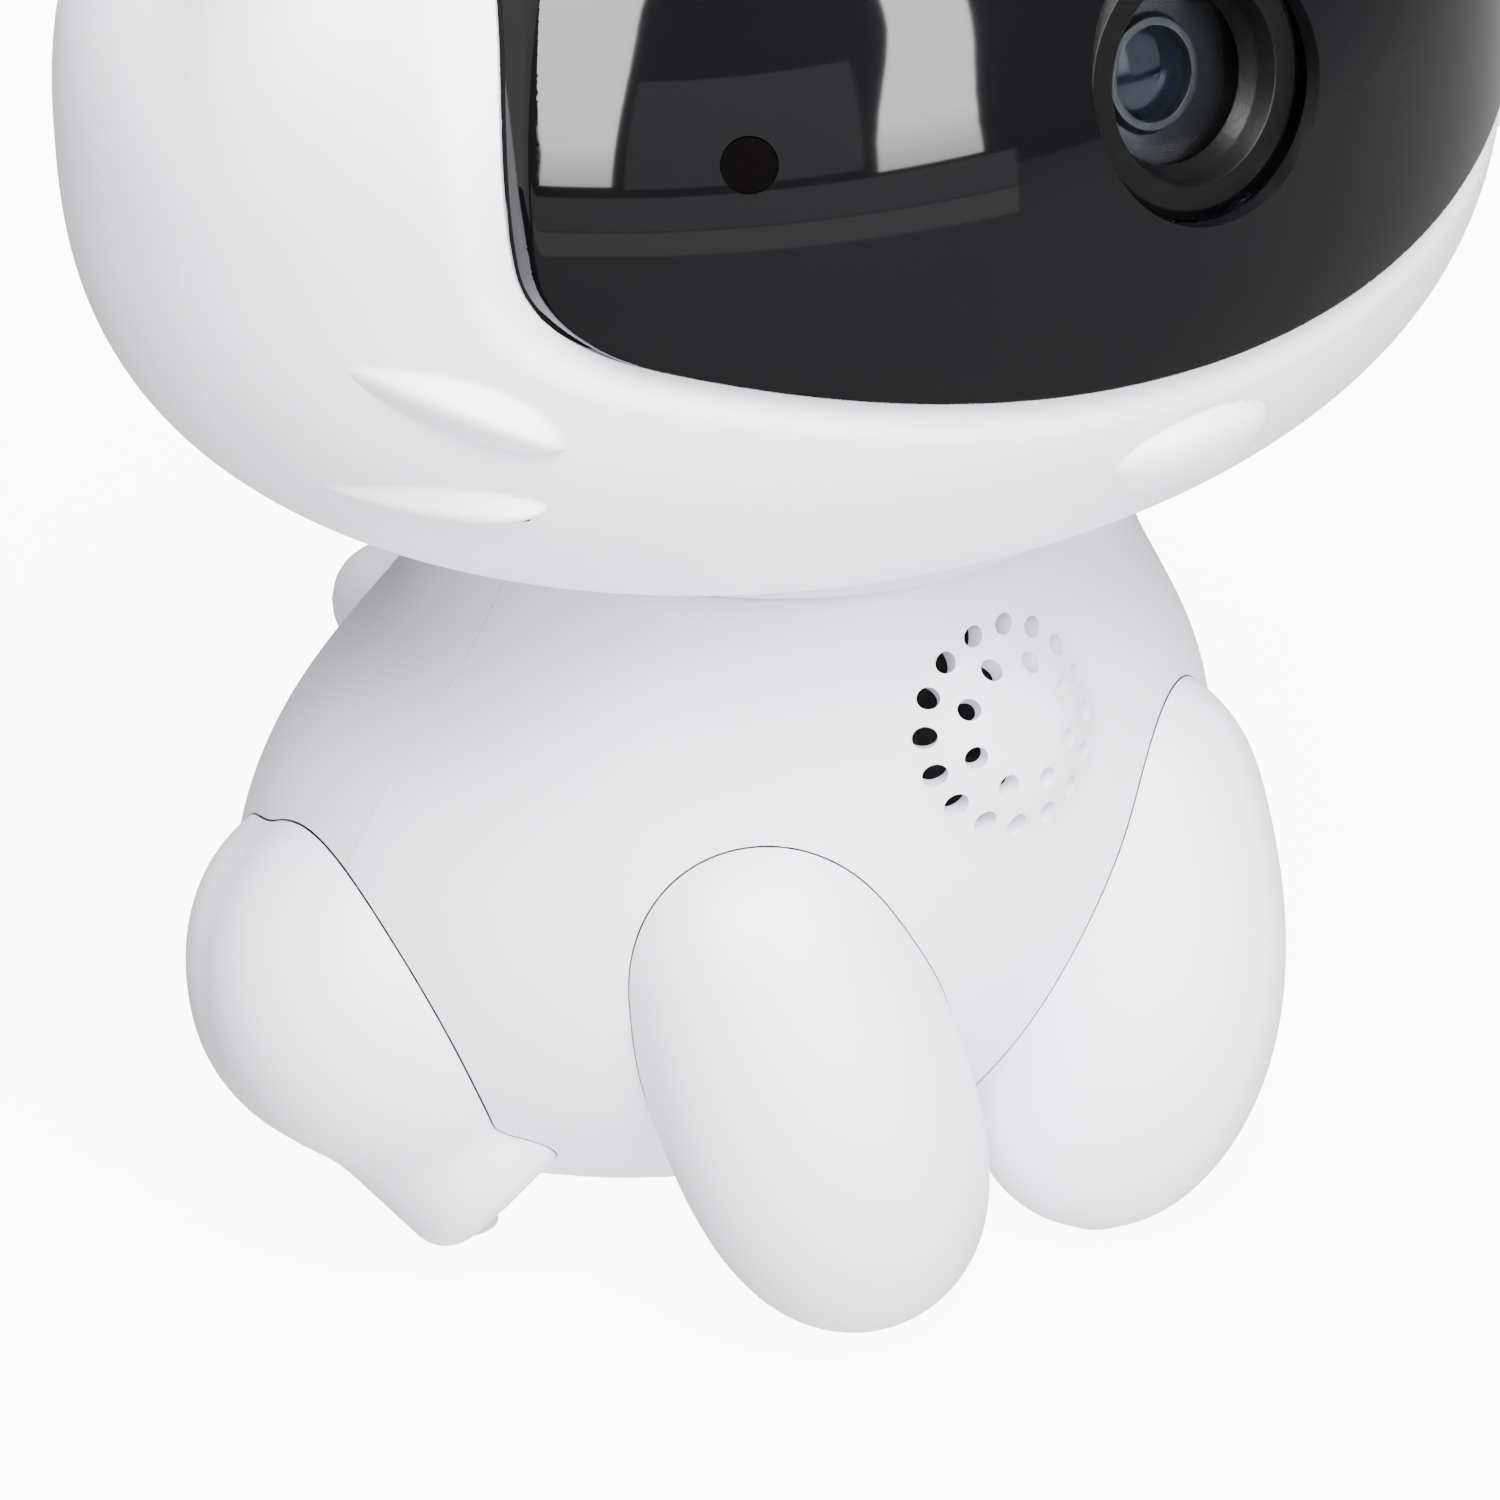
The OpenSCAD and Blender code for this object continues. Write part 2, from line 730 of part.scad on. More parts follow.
// Tactile switch on the underside of the main board
module reset_switch() {
    color([0.2, 0.2, 0.22]) translate([reset_x, reset_y, board_z]) {
        translate([-2.6, -2.6, -1.2]) cube([5.2, 5.2, 1.18]);
        translate([0, 0, -1.7]) cylinder(r = 0.9, h = 1, $fn = 24);
    }
}

module board_screws() {
    board_top = board_z + board_t;
    color("silver") at_posts() {
        translate([0, 0, board_top - 5]) cylinder(r = 0.95, h = 5.2, $fn = 20);
        translate([0, 0, board_top + 0.02]) cylinder(r = 2, h = 1.2, $fn = 24);
    }
}

// ---- Body: limbs ----

// Centre and radius at share t of a bent limb through three balls [x, y, z, r]
function limb_at(p, q, s, t) = mix(mix(p, q, t), mix(q, s, t), t);

// A rounded limb as a chain of hulls, cut back to the body's surface
module limb(p, q, s, side) {
    steps = 8;
    mirror([side > 0 ? 0 : 1, 0, 0]) for (i = [0 : steps - 1]) hull() for (k = [i, i + 1])
        let (w = limb_at(p, q, s, k / steps)) ball([w[0], w[1], w[2]], w[3]);
}

module pad_pocket(side, x, y) {
    translate([side * x, y, -eps]) cylinder(r = pad_r + 0.05, h = pad_t + 0.1, $fn = 40);
}

module below_sole() {
    translate([-big / 2, -big / 2, -big]) cube([big, big, big + sole_z]);
}

module front_leg(side) {
    color(white) difference() {
        limb([front_foot_x, front_pad_y, front_foot_r, front_foot_r], [15.9, -21, 16.6, 12.9],
             [17.8, -15.2, 33, 10.6], side);
        body_form(gap, body_low, body_top);
        below_sole();
        pad_pocket(side, front_foot_x, front_pad_y);
        translate([-side * big / 2, 0, 0]) cube([big, 2 * big, 2 * big], center = true);
    }
}
module front_leg_left() { front_leg(1); }
module front_leg_right() { front_leg(-1); }

// Hip and thigh lobes with a stout lower leg that ends in a flat, round-edged sole
module rear_leg(side) {
    hip = [28.1, 21.6, 19.5];
    thigh = [29.7, 13, 23.8];
    knee = [29.6, 19.8, 23.1];
    toe = [20.9, 6.3, 8.9];
    toe_edge = 3;
    toe_turn = atan2(toe[1] - knee[1], toe[0] - knee[0]);
    toe_tip = acos((toe[2] - knee[2]) / norm(toe - knee));
    thigh_steps = 7;
    inner_side = 12.5;
    color(white) difference() {
        mirror([side > 0 ? 0 : 1, 0, 0]) {
            for (i = [1 : thigh_steps]) hull() for (t = [(i - 1) / thigh_steps, i / thigh_steps])
                ball(mix(hip, thigh, t), mix(13.5, 15.4, t));
            hull() {
                ball(knee, rear_leg_r);
                translate(toe) rotate([0, toe_tip, toe_turn]) translate([0, 0, -toe_edge])
                    rotate_extrude($fn = 40) translate([rear_leg_r - toe_edge, 0])
                        circle(toe_edge, $fn = 24);
            }
        }
        body_form(gap, body_low, body_top);
        below_sole();
        pad_pocket(side, rear_pad_x, rear_pad_y);
        translate([side * (inner_side - big / 2), 0, 0]) cube(big, center = true);
    }
}
module rear_leg_left() { rear_leg(1); }
module rear_leg_right() { rear_leg(-1); }

module tail() {
    color(white) difference() {
        limb([0, 44.6, 13.5, 4.2], [8, 45.5, 27, 5.4], [-6.8, 45.2, 37, 4.8], 1);
        body_form(gap, body_low, body_top);
    }
}

module foot_pads() {
    color([0.5, 0.5, 0.52]) for (side = [-1, 1]) {
        translate([side * front_foot_x, front_pad_y, 0]) cylinder(r = pad_r, h = pad_t, $fn = 40);
        translate([side * rear_pad_x, rear_pad_y, 0]) cylinder(r = pad_r, h = pad_t, $fn = 40);
    }
}

head_front_shell();
head_rear_shell();
visor();
visor_gasket();
ir_windows();
lens_bezel();
lens_window();
lens_barrel();
lens_glass();
lens_holder();
ir_cut_filter();
sensor_board();
image_sensor();
camera_bracket();
ir_leds();
ir_boards();
wifi_antenna();
pan_spindle();
pan_gear();
retaining_clip();
wire_bundle();
spindle_screws();
body_front_shell();
body_rear_shell();
neck_ring();
base_plate();
deck_plate();
neck_bush();
thrust_washer();
pan_motor();
motor_shaft();
motor_pinion();
motor_screws();
speaker();
speaker_gasket();
main_board();
usb_inlet();
card_socket();
reset_button();
reset_switch();
board_screws();
tail();
front_leg_left();
front_leg_right();
rear_leg_left();
rear_leg_right();
foot_pads();
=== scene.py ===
"""Cat-shaped baby monitor camera: smooth moulded shells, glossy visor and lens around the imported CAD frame."""
import json
import math

import bmesh
import bpy
import numpy as np
from mathutils import Matrix, Vector


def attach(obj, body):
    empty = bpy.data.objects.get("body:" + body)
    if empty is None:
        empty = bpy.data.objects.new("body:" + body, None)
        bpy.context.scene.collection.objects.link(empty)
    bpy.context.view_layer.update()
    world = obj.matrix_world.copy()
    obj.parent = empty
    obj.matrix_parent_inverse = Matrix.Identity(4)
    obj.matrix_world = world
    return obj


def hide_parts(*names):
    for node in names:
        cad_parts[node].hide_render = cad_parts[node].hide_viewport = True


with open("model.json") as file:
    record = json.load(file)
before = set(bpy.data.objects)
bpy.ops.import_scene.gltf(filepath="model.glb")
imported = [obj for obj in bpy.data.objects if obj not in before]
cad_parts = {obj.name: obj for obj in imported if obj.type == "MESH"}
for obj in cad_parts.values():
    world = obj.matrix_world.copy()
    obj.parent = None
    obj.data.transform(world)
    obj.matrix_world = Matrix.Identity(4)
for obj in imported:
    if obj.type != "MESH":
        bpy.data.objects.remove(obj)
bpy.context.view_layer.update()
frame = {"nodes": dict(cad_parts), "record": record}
nodes = frame["nodes"]
MM = 0.001

# ---------------------------------------------------------------- implicit-surface kit (millimetres)


def smin(a, b, k):
    """Smaller of two values, blended over a width k."""
    h = np.clip(0.5 + 0.5 * (b - a) / k, 0, 1)
    return b + (a - b) * h - k * h * (1 - h)


def smax(a, b, k):
    """Larger of two values, blended over a width k."""
    return -smin(-a, -b, k)


def gradient(f, v, e=0.008):
    """Slope of f at each point, from a small step e to both sides."""
    g = np.empty_like(v)
    for i in range(3):
        d = np.zeros(3)
        d[i] = e
        g[:, i] = (f(v + d) - f(v - d)) / (2 * e)
    return g


def settle(v, f, rounds=4):
    """Moves points onto f = 0 along its gradient."""
    for _ in range(rounds):
        g = gradient(f, v)
        step = f(v) / np.maximum((g * g).sum(1), 1e-4)
        v = v - np.clip(step, -1.5, 1.5)[:, None] * g
    return v


def net(f, low, high, h):
    """Surface-net mesh of f = 0: vertices and triangles that face out of f < 0."""
    low, high = np.array(low, float), np.array(high, float)
    n = np.ceil((high - low) / h).astype(int) + 1
    axes = [low[i] + h * np.arange(n[i]) for i in range(3)]
    val = np.empty(tuple(n))
    for i in range(n[0]):
        yy, zz = np.meshgrid(axes[1], axes[2], indexing="ij")
        p = np.stack([np.full_like(yy, axes[0][i]), yy, zz], -1).reshape(-1, 3)
        val[i] = f(p).reshape(n[1], n[2])
    inside = val < 0
    corner = [(a, b, c) for a in (0, 1) for b in (0, 1) for c in (0, 1)]
    part = [inside[a:n[0] - 1 + a, b:n[1] - 1 + b, c:n[2] - 1 + c] for a, b, c in corner]
    count = sum(p.astype(np.int8) for p in part)
    active = (count > 0) & (count < 8)
    index = np.full(active.shape, -1, np.int64)
    cells = np.argwhere(active)
    index[active] = np.arange(len(cells))
    total, hits = np.zeros((len(cells), 3)), np.zeros(len(cells))
    for i, a in enumerate(corner):
        for b in corner[i + 1:]:
            if sum(abs(a[k] - b[k]) for k in range(3)) != 1:
                continue
            fa = val[tuple((cells + a).T)]
            fb = val[tuple((cells + b).T)]
            m = (fa < 0) != (fb < 0)
            t = fa[m] / (fa[m] - fb[m])
            total[m] += np.array(a) + t[:, None] * (np.array(b) - np.array(a))
            hits[m] += 1
    v = low + h * (cells + total / hits[:, None])
    faces = []
    for ax in range(3):
        u, w = (ax + 1) % 3, (ax + 2) % 3
        lo_side = np.take(inside, range(n[ax] - 1), ax)
        hi_side = np.take(inside, range(1, n[ax]), ax)
        e = np.argwhere(lo_side != hi_side)
        e = e[(e[:, u] > 0) & (e[:, w] > 0) & (e[:, u] < n[u] - 1) & (e[:, w] < n[w] - 1)]
        du, dw = np.eye(3, dtype=int)[u], np.eye(3, dtype=int)[w]
        q = np.stack([index[tuple(x.T)] for x in (e, e - du, e - du - dw, e - dw)], 1)
        out = lo_side[tuple(e.T)]
        q[~out] = q[~out][:, ::-1]
        faces.append(q)
    q = np.concatenate(faces)
    q = q[:, ::-1]
    t = np.concatenate([q[:, [0, 1, 2]], q[:, [0, 2, 3]]])
    v = settle(v, f)
    g = gradient(f, v)
    face_n = np.cross(v[t[:, 1]] - v[t[:, 0]], v[t[:, 2]] - v[t[:, 0]])
    if (face_n * g[t[:, 0]]).sum() < 0:
        t = t[:, ::-1]
    return v, t


def refine(v, t, f, size, levels=3):
    """Splits every edge that is longer than size(middle), keeping the mesh whole."""
    for _ in range(levels):
        e = np.sort(np.concatenate([t[:, [0, 1]], t[:, [1, 2]], t[:, [2, 0]]]), 1)
        key, inv = np.unique(e[:, 0] * len(v) + e[:, 1], return_inverse=True)
        a, b = key // len(v), key % len(v)
        mid = (v[a] + v[b]) / 2
        mark = np.linalg.norm(v[a] - v[b], axis=1) > size(mid)
        if not mark.any():
            break
        ids = np.full(len(key), -1)
        ids[mark] = len(v) + np.arange(mark.sum())
        v = np.vstack([v, settle(mid[mark], f, 3)])
        m = ids[inv].reshape(3, -1).T
        c = (m >= 0).sum(1)
        out = [t[c == 0]]
        for n in (1, 2):
            rows, mm = t[c == n], m[c == n]
            shift = (mm >= 0).argmax(1) if n == 1 else ((mm < 0).argmax(1) + 1) % 3
            turn = (np.arange(3)[None] + shift[:, None]) % 3
            r, q = np.take_along_axis(rows, turn, 1), np.take_along_axis(mm, turn, 1)
            if n == 1:
                out += [np.stack([r[:, 0], q[:, 0], r[:, 2]], 1),
                        np.stack([q[:, 0], r[:, 1], r[:, 2]], 1)]
            else:
                out += [np.stack([q[:, 0], r[:, 1], q[:, 1]], 1),
                        np.stack([r[:, 0], q[:, 0], q[:, 1]], 1),
                        np.stack([r[:, 0], q[:, 1], r[:, 2]], 1)]
        r, q = t[c == 3], m[c == 3]
        out += [np.stack([r[:, 0], q[:, 0], q[:, 2]], 1), np.stack([q[:, 0], r[:, 1], q[:, 1]], 1),
                np.stack([q[:, 2], q[:, 1], r[:, 2]], 1), q]
        t = np.concatenate(out)
    return v, t


def clip(v, t, g, f):
    """Keeps the part of a mesh of f = 0 where g >= 0, with a clean edge along g = 0."""
    gv = g(v)
    keep = gv >= 0
    k = keep[t].sum(1)
    part = t[(k == 1) | (k == 2)]
    if not len(part):
        return compact(v, t[k == 3])
    e = np.concatenate([part[:, [0, 1]], part[:, [1, 2]], part[:, [2, 0]]])
    e = np.sort(e[keep[e[:, 0]] != keep[e[:, 1]]], 1)
    key = np.unique(e[:, 0] * len(v) + e[:, 1])
    a, b = key // len(v), key % len(v)
    s = (gv[a] / (gv[a] - gv[b]))[:, None]
    new = v[a] * (1 - s) + v[b] * s
    for _ in range(3):
        new = settle(new, g, 1)
        new = settle(new, f, 1)
    new = settle(new, g, 1)

    def cut(p, q):
        return len(v) + np.searchsorted(key, np.minimum(p, q) * len(v) + np.maximum(p, q))

    out = [t[k == 3]]
    for n in (1, 2):
        rows = t[k == n]
        lone = keep[rows] if n == 1 else ~keep[rows]
        turn = (np.arange(3)[None] + lone.argmax(1)[:, None]) % 3
        r = np.take_along_axis(rows, turn, 1)
        p, q = cut(r[:, 0], r[:, 1]), cut(r[:, 0], r[:, 2])
        if n == 1:
            out.append(np.stack([r[:, 0], p, q], 1))
        else:
            out += [np.stack([p, r[:, 1], r[:, 2]], 1), np.stack([p, r[:, 2], q], 1)]
    return compact(np.vstack([v, new]), np.concatenate(out))


def compact(v, t):
    """Drops unused vertices and triangles without area."""
    used, inv = np.unique(t, return_inverse=True)
    t = inv.reshape(-1, 3)
    good = (t[:, 0] != t[:, 1]) & (t[:, 1] != t[:, 2]) & (t[:, 2] != t[:, 0])
    return v[used], t[good]


def thicken(v, t, f, wall, inner=None):
    """Closed shell from an open sheet: an inner sheet, and a rim along each edge.

    Returns vertices, triangles and a normal for each triangle's corner.
    """
    g = gradient(f, v)
    n = g / np.linalg.norm(g, axis=1)[:, None]
    v2 = v - n * wall
    if inner is not None:
        v2 = settle(v2, inner, 3)
    e = np.concatenate([t[:, [0, 1]], t[:, [1, 2]], t[:, [2, 0]]])
    key = np.sort(e, 1) @ np.array([len(v), 1])
    _, inv, cnt = np.unique(key, return_inverse=True, return_counts=True)
    rim = e[cnt[inv.reshape(-1)] == 1]
    o = len(v)
    side = np.concatenate([np.stack([rim[:, 1], rim[:, 0], rim[:, 0] + o], 1),
                           np.stack([rim[:, 1], rim[:, 0] + o, rim[:, 1] + o], 1)])
    allv = np.vstack([v, v2])
    alltris = np.concatenate([t, t[:, ::-1] + o, side])
    fn = np.cross(allv[side[:, 1]] - allv[side[:, 0]], allv[side[:, 2]] - allv[side[:, 0]])
    fn /= np.maximum(np.linalg.norm(fn, axis=1), 1e-9)[:, None]
    loops = np.concatenate([n[t].reshape(-1, 3), -n[t[:, ::-1]].reshape(-1, 3), np.repeat(fn, 3, 0)])
    return allv, alltris, loops


def add_object(name, data):
    """New object of a mesh, light or camera, linked to the scene."""
    ob = bpy.data.objects.new(name, data)
    bpy.context.scene.collection.objects.link(ob)
    return ob


def mesh_object(name, v, t, loops):
    """Object of vertices in millimetres, triangles, and a normal for each triangle's corner."""
    me = bpy.data.meshes.new(name)
    me.vertices.add(len(v))
    me.vertices.foreach_set("co", (v * MM).astype(np.float32).ravel())
    me.loops.add(3 * len(t))
    me.loops.foreach_set("vertex_index", t.astype(np.int32).ravel())
    me.polygons.add(len(t))
    me.polygons.foreach_set("loop_start", np.arange(0, 3 * len(t), 3, dtype=np.int32))
    me.polygons.foreach_set("use_smooth", np.ones(len(t), bool))
    me.update(calc_edges=True)
    me.validate()
    me.normals_split_custom_set(loops.astype(np.float32).tolist())
    return add_object(name, me)


def sheet_object(name, v, t, f, wall, inner=None):
    """Object of a sheet of f = 0 given a wall's thickness."""
    return mesh_object(name, *thicken(v, t, f, wall, inner))


# ---------------------------------------------------------------- the object's forms (millimetres)

# Head: half width, depth and height, middle height, roundness; the ears' outline is seen from the front,
# from the tip's place
HEAD_A, HEAD_B, HEAD_C, HEAD_Z, HEAD_N = 56.0, 49.0, 33.0, 94.0, 2.55
HEAD_WALL, HEAD_INNER, HEAD_HOLE = 2.0, 2.2, 9.4
SPLIT_Y = -2.4
SEAM = 0.12
EAR_X, EAR_TOP = 38.0, 144.0
EAR_Y, EAR_R, EAR_TAPER = -4.0, 7.0, 2.0
EAR_BLEND = 5.0
EAR_OUTLINE = [(-18, -27), (7, -36), (5, -16), (0, -5), (-7, -13)]

# Visor: side, chin and brow arcs of its outline, and the concave lip round it
VISOR_SIDE_X, VISOR_SIDE_Z, VISOR_SIDE_R = 17.25, 99.5, 28.0
VISOR_LOW, VISOR_CHIN_R = 84.5, 122.0
VISOR_HIGH, VISOR_BROW_R = 121.8, 230.0
VISOR_LOW_BLEND, VISOR_HIGH_BLEND = 4.5, 3.0
VISOR_PROUD, VISOR_WALL, VISOR_SINK = 0.5, 1.2, 0.82
VISOR_GAP, VISOR_INSET, VISOR_EDGE = 0.14, 0.06, 0.35
LIP_WIDTH, LIP_DEPTH = 2.7, 1.0
LENS = np.array([0.0, -48.6, 105.4])
LENS_TILT = math.radians(10)
IR_X, IR_Z = 33.0, 105.4
LENS_HOLE, IR_HOLE = 10.1, 2.0

# Face: nose, and cheek lines as (from, to, width above, width below, rise)
NOSE_Z, NOSE_HALF, NOSE_RISE = 77.0, (7.1, 3.4), 2.1
RIDGES = [((52.4, 89.5), (43.8, 84.6), 2.8, 1.6, 2.0), ((51.1, 78.2), (43.4, 79.4), 2.1, 1.25, 1.8)]

# Body: its outline is half widths by share of the height, on an axis that leans forward
BODY_LOW, BODY_TOP, BODY_FLAT = 7.0, 60.2, 0.92
BODY_Y, BODY_MID_Z = 8.1, 40.0
LEAN = math.tan(math.radians(16.6))
OUTLINE = np.array([[0.02, 29.7], [0.09, 32.9], [0.17, 35.9], [0.24, 37.9], [0.34, 38.8], [0.43, 38.8],
                    [0.53, 38.1], [0.62, 36.3], [0.71, 33.6], [0.81, 30.6], [0.9, 27.9], [0.96, 26.7]])
OUTLINE_DEGREE = 7
BODY_FRONT_WALL, BODY_REAR_WALL, LIMB_WALL = 1.7, 1.8, 1.8
NECK_HOLE, UNDER_HOLE = 13.2, 25.7

# Speaker dome: place, tilt, radius, height, and rings of holes as (radius, count, first angle)
DOME = np.array([0.0, -21.9, 47.0])
DOME_LEAN = math.radians(20.5)
DOME_R, DOME_H = 8.9, 4.5
DOME_FLAT = 0.32
SOUND_RINGS = ((4.7, 8, 15), (7.5, 16, 13))
SOUND_HOLE_R = 0.82

# Ports in the back: (x, height, half of the straight part, end radius)
USB_PORT = (-12, 17.8, 3.2, 1.9)
CARD_PORT = (13, 17.3, 5.3, 0.9)

# Limbs: balls [x, y, z, radius] of bent centre lines; the rear leg's lobe as (from, to, two radii) and its
# foot as (from, to, radius, edge); where the legs stop near the middle; the sole's height; gaps to the body
FRONT_LEG = [(11.9, -18.4, 9.5, 9.5), (15.9, -21, 16.6, 12.9), (17.8, -15.2, 33, 10.6)]
TAIL = [(0, 44.6, 13.5, 4.2), (8, 45.5, 27, 5.4), (-6.8, 45.2, 37, 4.8)]
HIP = ((28.1, 21.6, 19.5), (29.7, 13, 23.8), 13.5, 15.4)
FOOT = ((29.6, 19.8, 23.1), (20.9, 6.3, 8.9), 13.2, 3.0)
REAR_LEG_INNER, FRONT_LEG_INNER = 12.5, 0.15
SOLE = 0.6
LIMB_LINE, LIMB_GAP = 0.06, 0.07
FAR = 9.0

# Steps of the first meshes
SHELL_STEP, VISOR_STEP, LIMB_STEP = 1.5, 1.4, 1.1


def superellipsoid(p, grow=0.0):
    """Near distance to the head's round form, grown by grow."""
    q = p - np.array([0, 0, HEAD_Z])
    m = np.sqrt((q[:, 0] / (HEAD_A + grow)) ** 2 + (q[:, 1] / (HEAD_B + grow)) ** 2)
    s = (m ** HEAD_N + np.abs(q[:, 2] / (HEAD_C + grow)) ** HEAD_N) ** (1 / HEAD_N)
    r = np.linalg.norm(q, axis=1)
    return r * (1 - 1 / np.maximum(s, 1e-3))


def polygon_distance(x, z, pts):
    """Signed distance in a plane to a convex polygon listed anticlockwise."""
    d = np.full(x.shape, np.inf)
    inside = np.ones(x.shape, bool)
    for i in range(len(pts)):
        (ax, az), (bx, bz) = pts[i], pts[(i + 1) % len(pts)]
        ex, ez, wx, wz = bx - ax, bz - az, x - ax, z - az
        u = np.clip((wx * ex + wz * ez) / (ex * ex + ez * ez), 0, 1)
        d = np.minimum(d, (wx - ex * u) ** 2 + (wz - ez * u) ** 2)
        inside &= ex * wz - ez * wx > 0
    return np.where(inside, -1, 1) * np.sqrt(d)


def ear_distance(p):
    """Distance to the ears: a rounded flat outline that gets thinner to the tip."""
    x, y, z = np.abs(p[:, 0]), p[:, 1], p[:, 2]
    rise = np.clip((z - (EAR_TOP - 32)) / 27, 0, 1)
    r = EAR_R - EAR_TAPER * rise
    flat = polygon_distance(x, z, [(EAR_X + dx, EAR_TOP + dz) for dx, dz in EAR_OUTLINE])
    return np.sqrt(np.maximum(flat, 0) ** 2 + (y - EAR_Y + EAR_TAPER * rise) ** 2) - r


def visor_distance(x, z):
    """Signed distance to the visor's outline seen from the front."""
    side = np.hypot(np.maximum(np.abs(x) - VISOR_SIDE_X, 0), z - VISOR_SIDE_Z) - VISOR_SIDE_R
    chin = np.hypot(x, z - (VISOR_LOW + VISOR_CHIN_R)) - VISOR_CHIN_R
    brow = np.hypot(x, z - (VISOR_HIGH - VISOR_BROW_R)) - VISOR_BROW_R
    return smax(smax(side, chin, VISOR_LOW_BLEND), brow, VISOR_HIGH_BLEND)


def face_point(x, z):
    """Point on the front of the head at width x and height z."""
    k = (1 - (abs(z - HEAD_Z) / HEAD_C) ** HEAD_N) ** (2 / HEAD_N) - (x / HEAD_A) ** 2
    return np.array([x, -HEAD_B * math.sqrt(k), z])


def ridge(p, a, b, above, below, rise, power=0.55):
    """Height of a raised line on the face from a to b, tapering to both tips.

    It falls softly above its crest and steeply below.
    """
    x, z = np.abs(p[:, 0]), p[:, 2]
    ax, az = a
    ex, ez = b[0] - ax, b[1] - az
    length = math.hypot(ex, ez)
    u = np.clip(((x - ax) * ex + (z - az) * ez) / length ** 2, 1e-4, 1 - 1e-4)
    up = np.sign(ex) * ((z - az) * ex - (x - ax) * ez) / length
    w = np.sin(math.pi * u) ** power
    q = np.clip(np.abs(up) / (np.where(up > 0, above, below) * np.maximum(w, 0.25)), 0, 1)
    return rise * w ** 1.4 * np.where(up > 0, 0.5 + 0.5 * np.cos(math.pi * q), 1 - q * q)


def nose(p):
    """Height of the small oval nose."""
    r = np.sqrt((p[:, 0] / NOSE_HALF[0]) ** 2 + ((p[:, 2] - NOSE_Z) / NOSE_HALF[1]) ** 2)
    return NOSE_RISE * np.clip(1 - r ** 3, 0, 1) ** 0.7


def lip_depth(s):
    """Depth of the concave rim round the visor, by distance from the visor's outline."""
    t = smax(1 - s / LIP_WIDTH, np.zeros_like(s), 0.28)
    soft = smin(t, np.ones_like(t), 0.1)
    return LIP_DEPTH * (2 * soft - soft ** 2)


def head_form(p):
    """Near distance to the outside of the head, with its ears, lip, nose and cheek lines."""
    d = smin(superellipsoid(p), ear_distance(p), EAR_BLEND)
    s = visor_distance(p[:, 0], p[:, 2])
    front = np.clip((-p[:, 1] - 12) / 8, 0, 1)
    d = d + front * lip_depth(s)
    near = (p[:, 1] < -8) & (p[:, 1] > -56) & (p[:, 2] > 70) & (p[:, 2] < 96)
    if near.any():
        q = p[near]
        lift = nose(q) * (np.abs(q[:, 0]) < 9)
        for line in RIDGES:
            lift = np.maximum(lift, ridge(q, *line) * (np.abs(q[:, 0]) > 38))
        d[near] = d[near] - lift
    return d


def head_size(p):
    """Edge length wanted at each place on the head."""
    x, y, z = np.abs(p[:, 0]), p[:, 1], p[:, 2]
    s = np.abs(visor_distance(p[:, 0], z) - 1.4)
    size = np.full(len(p), 2.2)
    size = np.where((y < -10) & (s < 2.0), 0.55, size)
    lines = (y < -8) & (z > 75) & (z < 93.5) & (x > 42) & (x < 54)
    snout = (y < -40) & (z > 72.5) & (z < 81.5) & (x < 9)
    return np.where(lines | snout, 0.4, size)


def build_head():
    """Front and rear shells of the head, split by a plane."""
    v, t = net(head_form, (-60, -54, 58), (60, 52, 147), SHELL_STEP)
    v, t = refine(v, t, head_form, head_size, 3)
    hole = lambda p: np.where(p[:, 2] > 70, 1.0, np.hypot(p[:, 0], p[:, 1]) - HEAD_HOLE)
    v, t = clip(v, t, hole, head_form)
    front = clip(v, t, lambda p: SPLIT_Y - SEAM / 2 - p[:, 1], head_form)
    opening = lambda p: np.where(p[:, 1] > -8, 5.0, visor_distance(p[:, 0], p[:, 2]) - VISOR_GAP)
    front = clip(*front, opening, head_form)
    rear = clip(v, t, lambda p: p[:, 1] - SPLIT_Y - SEAM / 2, head_form)
    inner = lambda p: smin(superellipsoid(p, -HEAD_INNER), ear_distance(p) + HEAD_INNER, EAR_BLEND)
    return (sheet_object("head_front", *front, head_form, HEAD_WALL),
            sheet_object("head_rear", *rear, head_form, HEAD_WALL, inner))


def visor_form(p):
    """Near distance to the outside of the visor, with its wall along the outline."""
    return smax(superellipsoid(p, VISOR_PROUD), visor_distance(p[:, 0], p[:, 2]) + VISOR_INSET, VISOR_EDGE)


def lens_local(p):
    """Distance from the lens axis, and height along it out of the lens."""
    q = p - LENS
    ax = np.array([0, -math.cos(LENS_TILT), math.sin(LENS_TILT)])
    h = q @ ax
    r = np.linalg.norm(q - h[:, None] * ax, axis=1)
    return r, h


IR_CENTRE = settle(face_point(IR_X, IR_Z)[None], lambda q: superellipsoid(q, VISOR_PROUD), 6)[0]


def ir_gap(p):
    """Distance outside the nearer infrared window."""
    q = p.copy()
    q[:, 0] = np.abs(q[:, 0])
    return np.linalg.norm(q - IR_CENTRE, axis=1) - IR_HOLE


